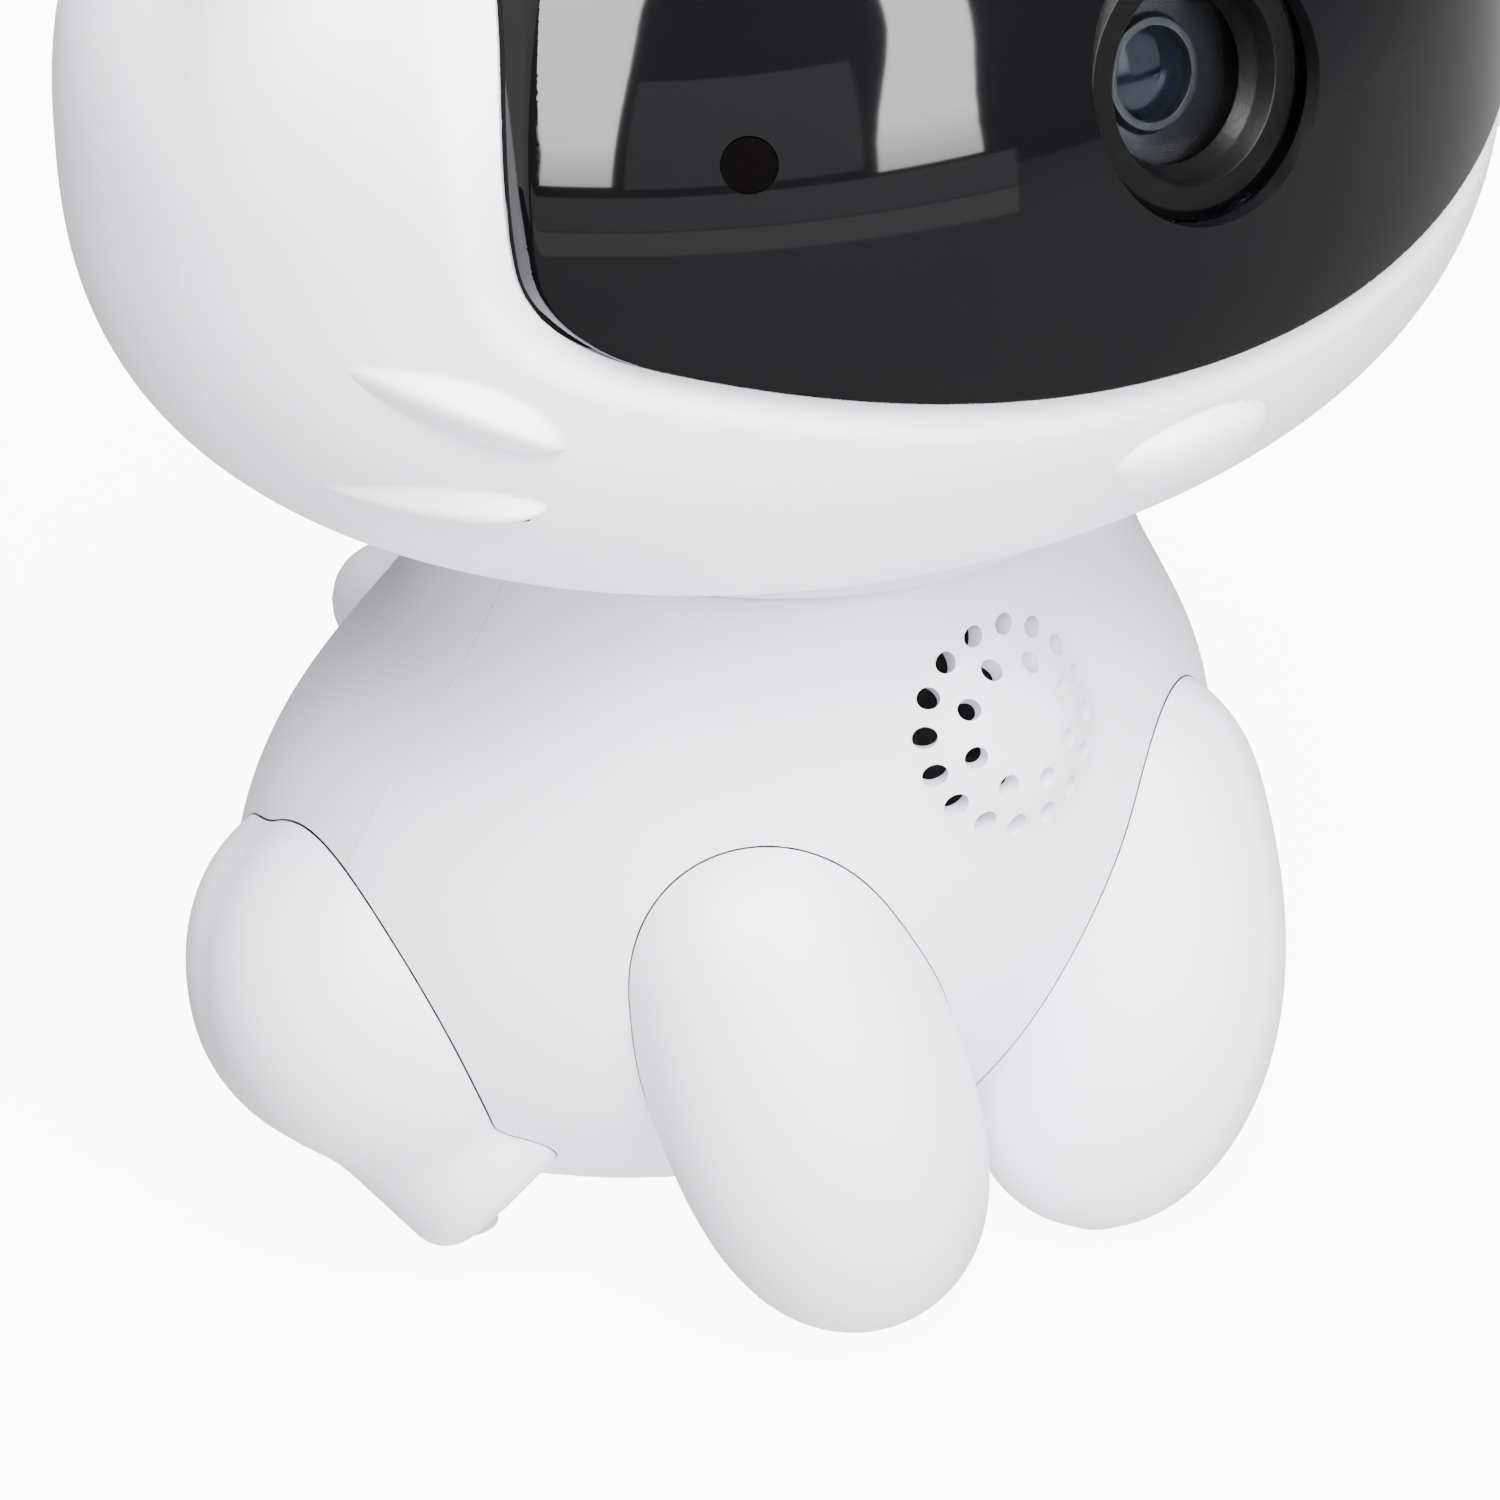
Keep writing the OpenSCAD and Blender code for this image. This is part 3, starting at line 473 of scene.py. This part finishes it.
def build_visor():
    """Curved plate with a wall turned in round its outline, a lens hole and two small windows."""
    front = lambda p: np.maximum(visor_form(p), p[:, 1] + 10)
    v, t = net(front, (-50, -54, 80), (50, -8, 125), VISOR_STEP)
    edge = lambda p: np.where(visor_distance(p[:, 0], p[:, 2]) > -1.6, 0.42, 2.0)
    v, t = refine(v, t, visor_form, lambda p: np.where(p[:, 1] > -14, FAR, edge(p)), 4)
    round_lens = lambda p: lens_local(p)[0] - LENS_HOLE
    v, t = refine(v, t, visor_form, lambda p: np.where(np.abs(round_lens(p)) < 1.2, 0.5, FAR), 3)
    v, t = clip(v, t, round_lens, visor_form)
    v, t = clip(v, t, lambda p: superellipsoid(p, -VISOR_SINK), visor_form)
    v, t = refine(v, t, visor_form, lambda p: np.where(ir_gap(p) < 0.6, 0.4, FAR), 2)
    v, t = clip(v, t, ir_gap, visor_form)
    return sheet_object("visor_panel", v, t, visor_form, VISOR_WALL)


def mid_y(z):
    """Where the body's leaning axis is at a height."""
    return BODY_Y - LEAN * (z - BODY_MID_Z)


def smooth_outline():
    """Half width of the body by height: a smooth curve through the outline, with straight ends."""
    z = BODY_LOW + (BODY_TOP - BODY_LOW) * OUTLINE[:, 0]
    middle = 33
    heights = np.linspace(BODY_LOW - 4, BODY_TOP + 4, 400)
    fit = np.polyfit(z - middle, OUTLINE[:, 1], OUTLINE_DEGREE)
    w = np.polyval(fit, np.clip(heights, z[0], z[-1]) - middle)
    slope_low, slope_top = np.polyval(np.polyder(fit), z[[0, -1]] - middle)
    w = w + np.maximum(heights - z[-1], 0) * slope_top + np.minimum(heights - z[0], 0) * slope_low
    return heights, w


TABLE_Z, TABLE_W = smooth_outline()
TABLE_SLOPE = np.gradient(TABLE_W, TABLE_Z)


def body_side(p, grow=0.0):
    """Near distance to the body's side, grown by grow."""
    w = np.interp(p[:, 2], TABLE_Z, TABLE_W)
    slope = np.interp(p[:, 2], TABLE_Z, TABLE_SLOPE)
    y = (p[:, 1] - mid_y(p[:, 2])) / BODY_FLAT
    return (np.hypot(p[:, 0], y) - w - grow) / np.sqrt(1 + slope ** 2)


def dome_local(p):
    """Position across, up and out of the speaker's dome."""
    q = p - DOME
    ax = np.array([0, -math.cos(DOME_LEAN), math.sin(DOME_LEAN)])
    up = np.array([0, math.sin(DOME_LEAN), math.cos(DOME_LEAN)])
    return q[:, 0], q @ up, q @ ax


def dome_distance(p):
    """Distance to the speaker's dome: a cap of a ball with a small flat on top."""
    u, w, h = dome_local(p)
    ball = (DOME_R ** 2 + DOME_H ** 2) / (2 * DOME_H)
    d = np.sqrt(u * u + w * w + (h - DOME_H + ball) ** 2) - ball
    return smax(d, h - (DOME_H - DOME_FLAT), 0.35)


def body_form(p):
    """Near distance to the outside of the body, with the dome."""
    d = smax(body_side(p), p[:, 2] - BODY_TOP, 2.2)
    d = smax(d, BODY_LOW - p[:, 2], 3.0)
    u, w, h = dome_local(p)
    near = (np.hypot(u, w) < 15) & (h > -6)
    if near.any():
        d[near] = smin(d[near], dome_distance(p[near]), 1.1)
    return d


def hole_gap(p):
    """Distance outside the nearest sound hole of the dome."""
    u, w, h = dome_local(p)
    best = np.full(len(p), 50.0)
    a = np.arctan2(w, u)
    for radius, count, phase in SOUND_RINGS:
        step = 2 * math.pi / count
        k = np.round((a - math.radians(phase)) / step)
        ang = math.radians(phase) + k * step
        best = np.minimum(best, np.hypot(u - radius * np.cos(ang), w - radius * np.sin(ang)) - SOUND_HOLE_R)
    return np.where(h < -3, 50.0, best)


def body_seam(p):
    """Positive behind the leaning seam between the body's shells."""
    lean = math.atan(LEAN)
    return (p[:, 1] - BODY_Y) * math.cos(lean) + (p[:, 2] - BODY_MID_Z) * math.sin(lean)


def limb_chain(p, balls, side, k=0.8, count=26):
    """Smooth union of balls along the curve of three control balls [x, y, z, r]."""
    q = p.copy()
    q[:, 0] *= side
    a, b, c = [np.array(x, float) for x in balls]
    d = np.full(len(q), 1e9)
    for i in range(count):
        u = i / (count - 1)
        s = (a * (1 - u) + b * u) * (1 - u) + (b * (1 - u) + c * u) * u
        d = smin(d, np.linalg.norm(q - s[:3], axis=1) - s[3], k)
    return d


def round_cone(p, a, b, ra, rb, steps=9):
    """Smooth union of balls from a to b whose radius goes from ra to rb."""
    d = np.full(len(p), 1e9)
    a, b = np.array(a, float), np.array(b, float)
    for i in range(steps):
        u = i / (steps - 1)
        d = smin(d, np.linalg.norm(p - (a + (b - a) * u), axis=1) - (ra + (rb - ra) * u), 0.6)
    return d


def stub(p, a, b, r, edge):
    """Round-ended bar from a, with a flat, round-edged end at b."""
    a, b = np.array(a, float), np.array(b, float)
    ax = (b - a) / np.linalg.norm(b - a)
    q = p - a
    h = q @ ax
    rad = np.linalg.norm(q - h[:, None] * ax, axis=1)
    length = np.linalg.norm(b - a)
    bar = np.where(h < 0, np.linalg.norm(q, axis=1) - r, rad - r)
    u, w = bar + edge, h - length + edge
    return np.minimum(np.maximum(u, w), 0) + np.hypot(np.maximum(u, 0), np.maximum(w, 0)) - edge


def rear_leg_form(p, side):
    """Hip lobe and flat-ended foot of a rear leg."""
    q = p.copy()
    q[:, 0] *= side
    return smax(smin(round_cone(q, *HIP), stub(q, *FOOT), 1.0), REAR_LEG_INNER - q[:, 0], 1.0)


def inside_body(p, gap):
    """Positive inside the body grown by gap."""
    side = smax(body_side(p, gap), p[:, 2] - BODY_TOP, 2.0)
    return -smax(side, BODY_LOW - gap - p[:, 2], 2.0)


def build_limb(name, raw, low, high):
    """Shell of a limb cut off where it meets the body, with its sole flat on the foot's plane."""
    def solid(p):
        return smax(raw(p), SOLE - p[:, 2], 0.6)

    v, t = net(solid, low, high, LIMB_STEP)
    size = lambda p: np.where(np.abs(body_side(p)) < 1.3, 0.5, 2.4)
    v, t = refine(v, t, solid, size, 2)
    v, t = clip(v, t, lambda p: -inside_body(p, LIMB_GAP), solid)
    return sheet_object(name, v, t, solid, LIMB_WALL)


def front_leg_form(p, side):
    """Front leg, kept to its own side of the middle."""
    return smax(limb_chain(p, FRONT_LEG, side), FRONT_LEG_INNER - p[:, 0] * side, 0.4)


def tail_form(p):
    """Curled tail on the back."""
    return limb_chain(p, TAIL, 1, 0.6)


def limbs(p):
    """Distance to the nearest leg or the tail."""
    d = tail_form(p)
    for side in (1, -1):
        d = np.minimum(d, np.minimum(front_leg_form(p, side), rear_leg_form(p, side)))
    return d


def build_body():
    """Front and rear shells of the body, split along the leaning seam and open under the limbs."""
    def size(p):
        u, w, h = dome_local(p)
        r = np.hypot(u, w)
        s = np.where((r < 12) & (h > -3), 0.8, 2.4)
        s = np.where((r < 10) & (h > -3) & (np.abs(hole_gap(p)) < 0.7), 0.3, s)
        return np.where(p[:, 2] > BODY_TOP - 2.6, 0.9, s)

    v, t = net(body_form, (-43, -32, 3), (43, 56, 64), SHELL_STEP)
    v, t = refine(v, t, body_form, size, 4)
    v, t = refine(v, t, body_form, lambda p: np.where(np.abs(limbs(p)) < 0.7, 0.5, FAR), 3)
    v, t = clip(v, t, lambda p: limbs(p) - LIMB_LINE, body_form)
    neck = lambda p: np.where(p[:, 2] > 55, np.hypot(p[:, 0], p[:, 1]) - NECK_HOLE, 1.0)
    v, t = clip(v, t, neck, body_form)
    oval = lambda p: np.hypot(p[:, 0], (p[:, 1] - mid_y(BODY_LOW)) / BODY_FLAT) - UNDER_HOLE
    v, t = clip(v, t, lambda p: np.where(p[:, 2] < 9, oval(p), 1.0), body_form)
    fv, ft = clip(v, t, lambda p: -SEAM / 2 - body_seam(p), body_form)
    fv, ft = clip(fv, ft, hole_gap, body_form)
    rv, rt = clip(v, t, lambda p: body_seam(p) - SEAM / 2, body_form)
    for port in (USB_PORT, CARD_PORT):
        gap = lambda p: np.where(p[:, 1] > 30, slot_gap(p, *port), FAR)
        rv, rt = refine(rv, rt, body_form, lambda p: np.where(np.abs(gap(p)) < 1.0, 0.4, FAR), 3)
        rv, rt = clip(rv, rt, gap, body_form)
    return (sheet_object("body_front", fv, ft, body_form, BODY_FRONT_WALL),
            sheet_object("body_rear", rv, rt, body_form, BODY_REAR_WALL))


def slot_gap(p, x, z, half, r):
    """Distance outside a round-ended slot in the back."""
    return np.hypot(np.maximum(np.abs(p[:, 0] - x) - half, 0), p[:, 2] - z) - r


# ---------------------------------------------------------------- turned pieces


def axis_matrix(origin, direction):
    """Frame whose Z runs along a direction from an origin in millimetres."""
    z = Vector(direction).normalized()
    x = Vector((1, 0, 0))
    y = z.cross(x).normalized()
    m = Matrix((x, y, z)).transposed().to_4x4()
    m.translation = Vector(origin) * MM
    return m


def lathe(name, profile, matrix=Matrix(), segments=160):
    """Closed solid turned from a closed profile of (radius, height) in millimetres."""
    n = len(profile)
    verts, faces = [], []
    for i in range(segments):
        a = 2 * math.pi * i / segments
        for r, h in profile:
            verts.append(matrix @ Vector((r * math.cos(a) * MM, r * math.sin(a) * MM, h * MM)))
    for i in range(segments):
        j = (i + 1) % segments
        for k in range(n):
            m = (k + 1) % n
            faces.append((i * n + k, j * n + k, j * n + m, i * n + m))
    me = bpy.data.meshes.new(name)
    me.from_pydata([tuple(v) for v in verts], [], faces)
    bm = bmesh.new()
    bm.from_mesh(me)
    bmesh.ops.remove_doubles(bm, verts=bm.verts, dist=1e-7)
    bmesh.ops.dissolve_degenerate(bm, edges=bm.edges, dist=1e-8)
    bmesh.ops.recalc_face_normals(bm, faces=bm.faces)
    bm.to_mesh(me)
    bm.free()
    me.shade_smooth()
    me.set_sharp_from_angle(angle=math.radians(30))
    return add_object(name, me)


def rounded(points, radius, steps=4):
    """A closed profile with each corner replaced by a small arc, unless its radius is 0."""
    out = []
    n = len(points)
    for i in range(n):
        p, a, b = (np.array(points[k % n], float) for k in (i, i - 1, i + 1))
        r = radius[i]
        if r == 0:
            out.append(tuple(p))
            continue
        da, db = (a - p) / np.linalg.norm(a - p), (b - p) / np.linalg.norm(b - p)
        cut = min(r, 0.45 * np.linalg.norm(a - p), 0.45 * np.linalg.norm(b - p))
        s, e = p + da * cut, p + db * cut
        for k in range(steps + 1):
            u = k / steps
            out.append(tuple((s * (1 - u) + p * u) * (1 - u) + (p * (1 - u) + e * u) * u))
    return out


# ---------------------------------------------------------------- materials


CLOUD_SCALE, GRAIN_HEIGHT = 45, 0.0002


def material(name, color, rough, specular=0.5, metal=0.0, transmission=0.0, ior=1.5, grain=(900, 0.02),
             mottle=0.02, rough_var=0.05):
    """Principled finish with fine moulded grain, and slight variation of colour and gloss.

    grain is (scale, strength); mottle and rough_var are the variation of colour and roughness.
    """
    m = bpy.data.materials.new(name)
    m.use_nodes = True
    nt = m.node_tree
    b = nt.nodes["Principled BSDF"]
    link = nt.links.new
    b.inputs["Metallic"].default_value = metal
    b.inputs["Specular IOR Level"].default_value = specular
    b.inputs["Transmission Weight"].default_value = transmission
    b.inputs["IOR"].default_value = ior
    coord = nt.nodes.new("ShaderNodeTexCoord")
    cloud = nt.nodes.new("ShaderNodeTexNoise")
    cloud.inputs["Scale"].default_value = CLOUD_SCALE
    cloud.inputs["Detail"].default_value = 3
    link(coord.outputs["Object"], cloud.inputs["Vector"])
    ramp = nt.nodes.new("ShaderNodeMapRange")
    ramp.inputs["To Min"].default_value = rough - rough_var
    ramp.inputs["To Max"].default_value = rough + rough_var
    link(cloud.outputs["Fac"], ramp.inputs["Value"])
    link(ramp.outputs["Result"], b.inputs["Roughness"])
    mix = nt.nodes.new("ShaderNodeMix")
    mix.data_type = "RGBA"
    mix.inputs["A"].default_value = (*[c * (1 - mottle) for c in color], 1)
    mix.inputs["B"].default_value = (*[min(1, c * (1 + mottle)) for c in color], 1)
    link(cloud.outputs["Fac"], mix.inputs["Factor"])
    link(mix.outputs["Result"], b.inputs["Base Color"])
    noise = nt.nodes.new("ShaderNodeTexNoise")
    noise.inputs["Scale"].default_value = grain[0]
    noise.inputs["Detail"].default_value = 4
    link(coord.outputs["Object"], noise.inputs["Vector"])
    bump = nt.nodes.new("ShaderNodeBump")
    bump.inputs["Strength"].default_value = grain[1]
    bump.inputs["Distance"].default_value = GRAIN_HEIGHT
    link(noise.outputs["Fac"], bump.inputs["Height"])
    link(bump.outputs["Normal"], b.inputs["Normal"])
    return m


# Finish of each material slot in the record
MAT = {
    "white_shell": material("satin_white", (0.845, 0.835, 0.915), 0.42, grain=(1400, 0.03), mottle=0.006),
    "grey_plastic": material("grey_plastic", (0.68, 0.68, 0.70), 0.5, grain=(1600, 0.12)),
    "black_gloss": material("gloss_black", (0.003, 0.003, 0.0035), 0.05, specular=0.24, grain=(300, 0.0),
                            mottle=0.2, rough_var=0.015),
    "black_foam": material("black_foam", (0.003, 0.003, 0.003), 0.9, specular=0.1, grain=(2500, 0.6)),
    "ir_window": material("ir_window", (0.0009, 0.0006, 0.0008), 0.2, specular=0.05, grain=(800, 0.02),
                          mottle=0.3),
    "bezel_satin": material("bezel_satin", (0.002, 0.002, 0.0022), 0.38, specular=0.16, grain=(2200, 0.12),
                            mottle=0.1),
    "window_glass": material("window_glass", (0.8, 0.84, 0.9), 0.02, specular=0.1, transmission=1.0, ior=1.1,
                             grain=(400, 0.0), rough_var=0.005),
    "black_metal": material("black_anodised", (0.004, 0.004, 0.0045), 0.35, specular=0.2, grain=(1800, 0.06),
                            mottle=0.1),
    "lens_glass": material("lens_glass", (0.0016, 0.0024, 0.0045), 0.03, specular=0.07, grain=(400, 0.0),
                           rough_var=0.01),
    "black_plastic": material("black_plastic", (0.006, 0.006, 0.0063), 0.45, grain=(1500, 0.1), mottle=0.1),
    "filter_glass": material("filter_glass", (0.5, 0.15, 0.25), 0.05, transmission=0.6, grain=(500, 0.0)),
    "circuit_board": material("circuit_board", (0.02, 0.16, 0.06), 0.35, grain=(700, 0.15), mottle=0.15),
    "sensor_glass": material("sensor_glass", (0.05, 0.05, 0.09), 0.08, grain=(900, 0.02), mottle=0.2),
    "led_epoxy": material("led_epoxy", (0.1, 0.03, 0.12), 0.1, transmission=0.3, grain=(400, 0.01)),
    "antenna_film": material("antenna_film", (0.6, 0.42, 0.14), 0.3, metal=0.9, grain=(900, 0.05)),
    "acetal": material("acetal", (0.82, 0.8, 0.72), 0.35, grain=(1100, 0.05)),
    "spring_steel": material("plated_steel", (0.62, 0.62, 0.64), 0.28, metal=1.0, grain=(2000, 0.06)),
    "wire_jacket": material("wire_jacket", (0.04, 0.04, 0.04), 0.5, grain=(1500, 0.08), mottle=0.1),
    "motor_steel": material("motor_can", (0.55, 0.55, 0.57), 0.35, metal=1.0, grain=(1200, 0.08)),
    "speaker_cone": material("speaker_cone", (0.015, 0.015, 0.015), 0.7, grain=(1800, 0.4), mottle=0.15),
    "port_steel": material("port_steel", (0.6, 0.6, 0.62), 0.3, metal=1.0, grain=(1500, 0.05)),
    "button_grey": material("button_grey", (0.11, 0.11, 0.12), 0.42, grain=(1500, 0.1), mottle=0.06),
    "pad_rubber": material("pad_rubber", (0.55, 0.55, 0.57), 0.75, grain=(2200, 0.3), mottle=0.06),
}
SLOT_OF = {s["node"]: s["material_slot"] for s in frame["record"]["subparts"]}


def piece(ob, body, slot, *cad):
    """Finishes a visible piece and says what it rides on and which CAD nodes it replaces."""
    ob.data.materials.clear()
    ob.data.materials.append(MAT[slot])
    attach(ob, body)
    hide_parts(*cad)


for name, ob in nodes.items():
    for s in ob.material_slots:
        s.material = MAT[SLOT_OF[name]]
    if not ob.material_slots:
        ob.data.materials.append(MAT[SLOT_OF[name]])

# ---------------------------------------------------------------- pieces

head_front, head_rear = build_head()
piece(head_front, "head", "white_shell", "head_front_shell")
piece(head_rear, "head", "white_shell", "head_rear_shell")
piece(build_visor(), "head", "black_gloss", "visor")
body_front, body_rear = build_body()
piece(body_front, "body", "white_shell", "body_front_shell")
piece(body_rear, "body", "white_shell", "body_rear_shell")
for side, word in ((1, "left"), (-1, "right")):
    lo, hi = (-2, 31) if side > 0 else (-31, 2)
    leg = build_limb("front_leg_" + word + "_shell", lambda p: front_leg_form(p, side),
                     (lo, -36, -1), (hi, -2, 47))
    piece(leg, "body", "white_shell", "front_leg_" + word)
    lo, hi = (8, 48) if side > 0 else (-48, -8)
    leg = build_limb("rear_leg_" + word + "_shell", lambda p: rear_leg_form(p, side),
                     (lo, -8, -1), (hi, 38, 42))
    piece(leg, "body", "white_shell", "rear_leg_" + word)
tail = build_limb("tail_shell", tail_form, (-14, 34, 6), (14, 56, 45))
piece(tail, "body", "white_shell", "tail")

# Turned pieces: (radius, height) along each axis, then the radius of each corner
BEZEL = [(9.8, -6.4), (9.8, -3.1), (9.15, -2.55), (7.4, -2.55), (6.9, -3.95), (6.2, -5.1), (6.2, -5.15),
         (7.3, -5.15), (7.3, -6.4)]
BEZEL_CORNERS = [0, 0.1, 0.1, 0.08, 0.12, 0.05, 0, 0, 0]
BARREL = [(3.4, -7), (4, -7), (4.3, -7.7), (7, -7.7), (7, -9), (6, -9), (6, -19), (3.4, -19)]
BARREL_CORNERS = [0.05, 0.1, 0.1, 0.1, 0, 0, 0, 0]
COLLAR = [(13.4, 60.2), (22.5, 60.2), (22.5, 61.1), (13.4, 61.1)]
COLLAR_CORNERS = [0.25] * 4

lens_axis = axis_matrix(LENS, (0, -math.cos(LENS_TILT), math.sin(LENS_TILT)))
bezel = lathe("lens_funnel", rounded(BEZEL, BEZEL_CORNERS), lens_axis)
piece(bezel, "head", "bezel_satin", "lens_bezel")
barrel = lathe("lens_barrel_turned", rounded(BARREL, BARREL_CORNERS), lens_axis)
piece(barrel, "head", "black_metal", "lens_barrel")
ring = lathe("neck_collar", rounded(COLLAR, COLLAR_CORNERS))
piece(ring, "body", "white_shell", "neck_ring")

# ---------------------------------------------------------------- camera, floor and lights

# View of the photograph: azimuth to the left of the front, elevation and roll, and metres to the target
PSI, ELEV, ROLL, DIST = math.radians(37.4), math.radians(25.5), math.radians(2.4), 0.655
TARGET_RIGHT, TARGET_HIGH = -0.00475, 0.0375
SENSOR_MM, LENS_MM = 36, 205.3

FLOOR_SIZE, FLOOR_GLOW = 12, 8
WORLD_GLOW = FLOOR_GLOW + 3

# Lights: azimuth from the front and elevation, distance, width and height, watts, height of the aim
LIGHTS = {
    "top_soft": (0, 80, 1.6, (2.4, 2.4), 128, 0.07),
    "key_soft": (-25, 48, 1.5, (0.9, 0.9), 80, 0.07),
    "front_soft": (-20, 18, 1.8, (1.6, 1.0), 53, 0.07),
    "back_soft": (180, 30, 2.0, (1.8, 1.4), 6, 0.07),
    "bounce_soft": (0, -88, 1.0, (2.6, 2.6), 105, 0),
}



def curved_rows(low, high, left, right, count=8):
    """Rows between two elevations whose edges, each (azimuth, swing, power), swing out as they rise."""
    rows = []
    for i in range(count):
        t = i / (count - 1)
        rows.append((left[0] + left[1] * t ** left[2], right[0] + right[1] * t ** right[2],
                     low + (high - low) * t))
    return rows


# Cards seen only in reflections, a metre from the face: rows of (azimuth left, azimuth right, elevation),
# strength at the top, the share of it at the bottom, and the metres of height that the change takes
CARD_CENTRE = Vector((-0.03, -0.035, 0.108))
CARD_STEP = 16
CARDS = {
    "strip_left": (curved_rows(7.8, 75, (-62.5, -67.5, 2.6), (-51, -11, 5)), 42, 0.5, 0.25),
    "strip_right": (curved_rows(5.6, 67, (-11.5, 23, 2), (3.5, 30, 2.3)), 42, 0.5, 0.25),
    "card_between": ([(-49, -13.5, 7), (-49, -12.5, 24), (-49, -10.5, 42)], 1.05, 1.0, 0.25),
    "card_under": ([(-90, 8, -4.9), (-90, 8, 4.4)], 1.2, 1.0, 0.25),
    "card_low_band": ([(-90, 8, -11), (-90, 8, -5.15)], 1.8, 1.0, 0.25),
    "card_low": ([(-100, 130, -75), (-100, 130, -40), (-100, 130, -11)], 0.78, 1.0, 0.25),
    "card_low_right": ([(8, 130, -11), (8, 130, 0.5), (48, 130, 1.5), (60, 130, 35)], 0.12, 6.2, 0.5),
    "card_side": ([(-178, -104, -10), (-178, -104, 30), (-178, -104, 70)], 1.4, 1.0, 0.25),
}


def direction(az, el):
    """Unit vector at an azimuth from the front and an elevation, in degrees."""
    a, e = math.radians(az), math.radians(el)
    return Vector((math.sin(a) * math.cos(e), -math.cos(a) * math.cos(e), math.sin(e)))


def add_camera():
    """Camera of the photograph's view, rolled about its own axis."""
    toward = Vector((-math.sin(PSI) * math.cos(ELEV), -math.cos(PSI) * math.cos(ELEV), math.sin(ELEV)))
    right = Vector((math.cos(PSI), -math.sin(PSI), 0))
    up = Vector((math.sin(PSI) * math.sin(ELEV), math.cos(PSI) * math.sin(ELEV), math.cos(ELEV)))
    rolled_right = right * math.cos(ROLL) - up * math.sin(ROLL)
    rolled_up = right * math.sin(ROLL) + up * math.cos(ROLL)
    place = right * TARGET_RIGHT + Vector((0, 0, TARGET_HIGH)) + toward * DIST
    data = bpy.data.cameras.new("camera")
    data.sensor_width = SENSOR_MM
    data.lens = LENS_MM
    data.clip_start, data.clip_end = 0.05, 50
    camera = add_object("camera", data)
    turn = Matrix((rolled_right, rolled_up, toward)).transposed().to_4x4()
    camera.matrix_world = Matrix.Translation(place) @ turn
    bpy.context.scene.camera = camera


def add_floor():
    """White floor that glows to the camera, and takes no part in reflections, bounces and shadows."""
    me = bpy.data.meshes.new("floor")
    s = FLOOR_SIZE / 2
    me.from_pydata([(-s, -s, 0), (s, -s, 0), (s, s, 0), (-s, s, 0)], [], [(0, 1, 2, 3)])
    floor = add_object("floor", me)
    paint = material("floor_paint", (0.9, 0.9, 0.9), 0.7, specular=0.1, grain=(60, 0.0), mottle=0.002)
    finish = paint.node_tree.nodes["Principled BSDF"].inputs
    finish["Emission Color"].default_value = (1, 1, 1, 1)
    finish["Emission Strength"].default_value = FLOOR_GLOW
    me.materials.append(paint)
    floor.visible_glossy = False
    floor.visible_diffuse = False
    floor.visible_shadow = False


def add_light(name, az, el, dist, size, watts, aim):
    """Soft rectangular light that stays out of reflections."""
    data = bpy.data.lights.new(name, "AREA")
    data.shape = "RECTANGLE"
    data.size, data.size_y = size
    data.energy = watts
    ob = add_object(name, data)
    d = direction(az, el)
    ob.location = Vector((0, 0, aim)) + d * dist
    ob.rotation_euler = d.to_track_quat("Z", "Y").to_euler()
    ob.visible_glossy = False


def add_world():
    """White world that the camera sees, kept out of reflections and bounces."""
    world = bpy.data.worlds.new("studio")
    world.use_nodes = True
    back = world.node_tree.nodes["Background"].inputs
    back["Color"].default_value = (1, 1, 1, 1)
    back["Strength"].default_value = WORLD_GLOW
    world.cycles_visibility.glossy = False
    world.cycles_visibility.diffuse = False
    bpy.context.scene.world = world


def add_card(name, rows, strength, low_part, fade):
    """Bent softbox seen only in reflections, with a strength that changes with height."""
    verts, faces = [], []
    columns = 1 + math.ceil(max(right - left for left, right, _ in rows) / CARD_STEP)
    for left, right, el in rows:
        for k in range(columns + 1):
            verts.append(CARD_CENTRE + direction(left + (right - left) * k / columns, el))
    wide = columns + 1
    for i in range(len(rows) - 1):
        for k in range(columns):
            faces.append((i * wide + k, i * wide + k + 1, (i + 1) * wide + k + 1, (i + 1) * wide + k))
    me = bpy.data.meshes.new(name)
    me.from_pydata([tuple(v) for v in verts], [], faces)
    m = bpy.data.materials.new(name)
    m.use_nodes = True
    nt = m.node_tree
    nt.nodes.clear()
    em = nt.nodes.new("ShaderNodeEmission")
    coord = nt.nodes.new("ShaderNodeTexCoord")
    split = nt.nodes.new("ShaderNodeSeparateXYZ")
    ramp = nt.nodes.new("ShaderNodeMapRange")
    ramp.inputs["From Min"].default_value = verts[0].z
    ramp.inputs["From Max"].default_value = verts[0].z + fade
    ramp.inputs["To Min"].default_value = strength * low_part
    ramp.inputs["To Max"].default_value = strength
    nt.links.new(coord.outputs["Object"], split.inputs[0])
    nt.links.new(split.outputs["Z"], ramp.inputs["Value"])
    nt.links.new(ramp.outputs["Result"], em.inputs["Strength"])
    out = nt.nodes.new("ShaderNodeOutputMaterial")
    nt.links.new(em.outputs[0], out.inputs[0])
    me.materials.append(m)
    ob = add_object(name, me)
    ob.visible_camera = False
    ob.visible_diffuse = False
    ob.visible_shadow = False


add_camera()
add_floor()
for name, values in LIGHTS.items():
    add_light(name, *values)
add_world()
for name, values in CARDS.items():
    add_card(name, *values)
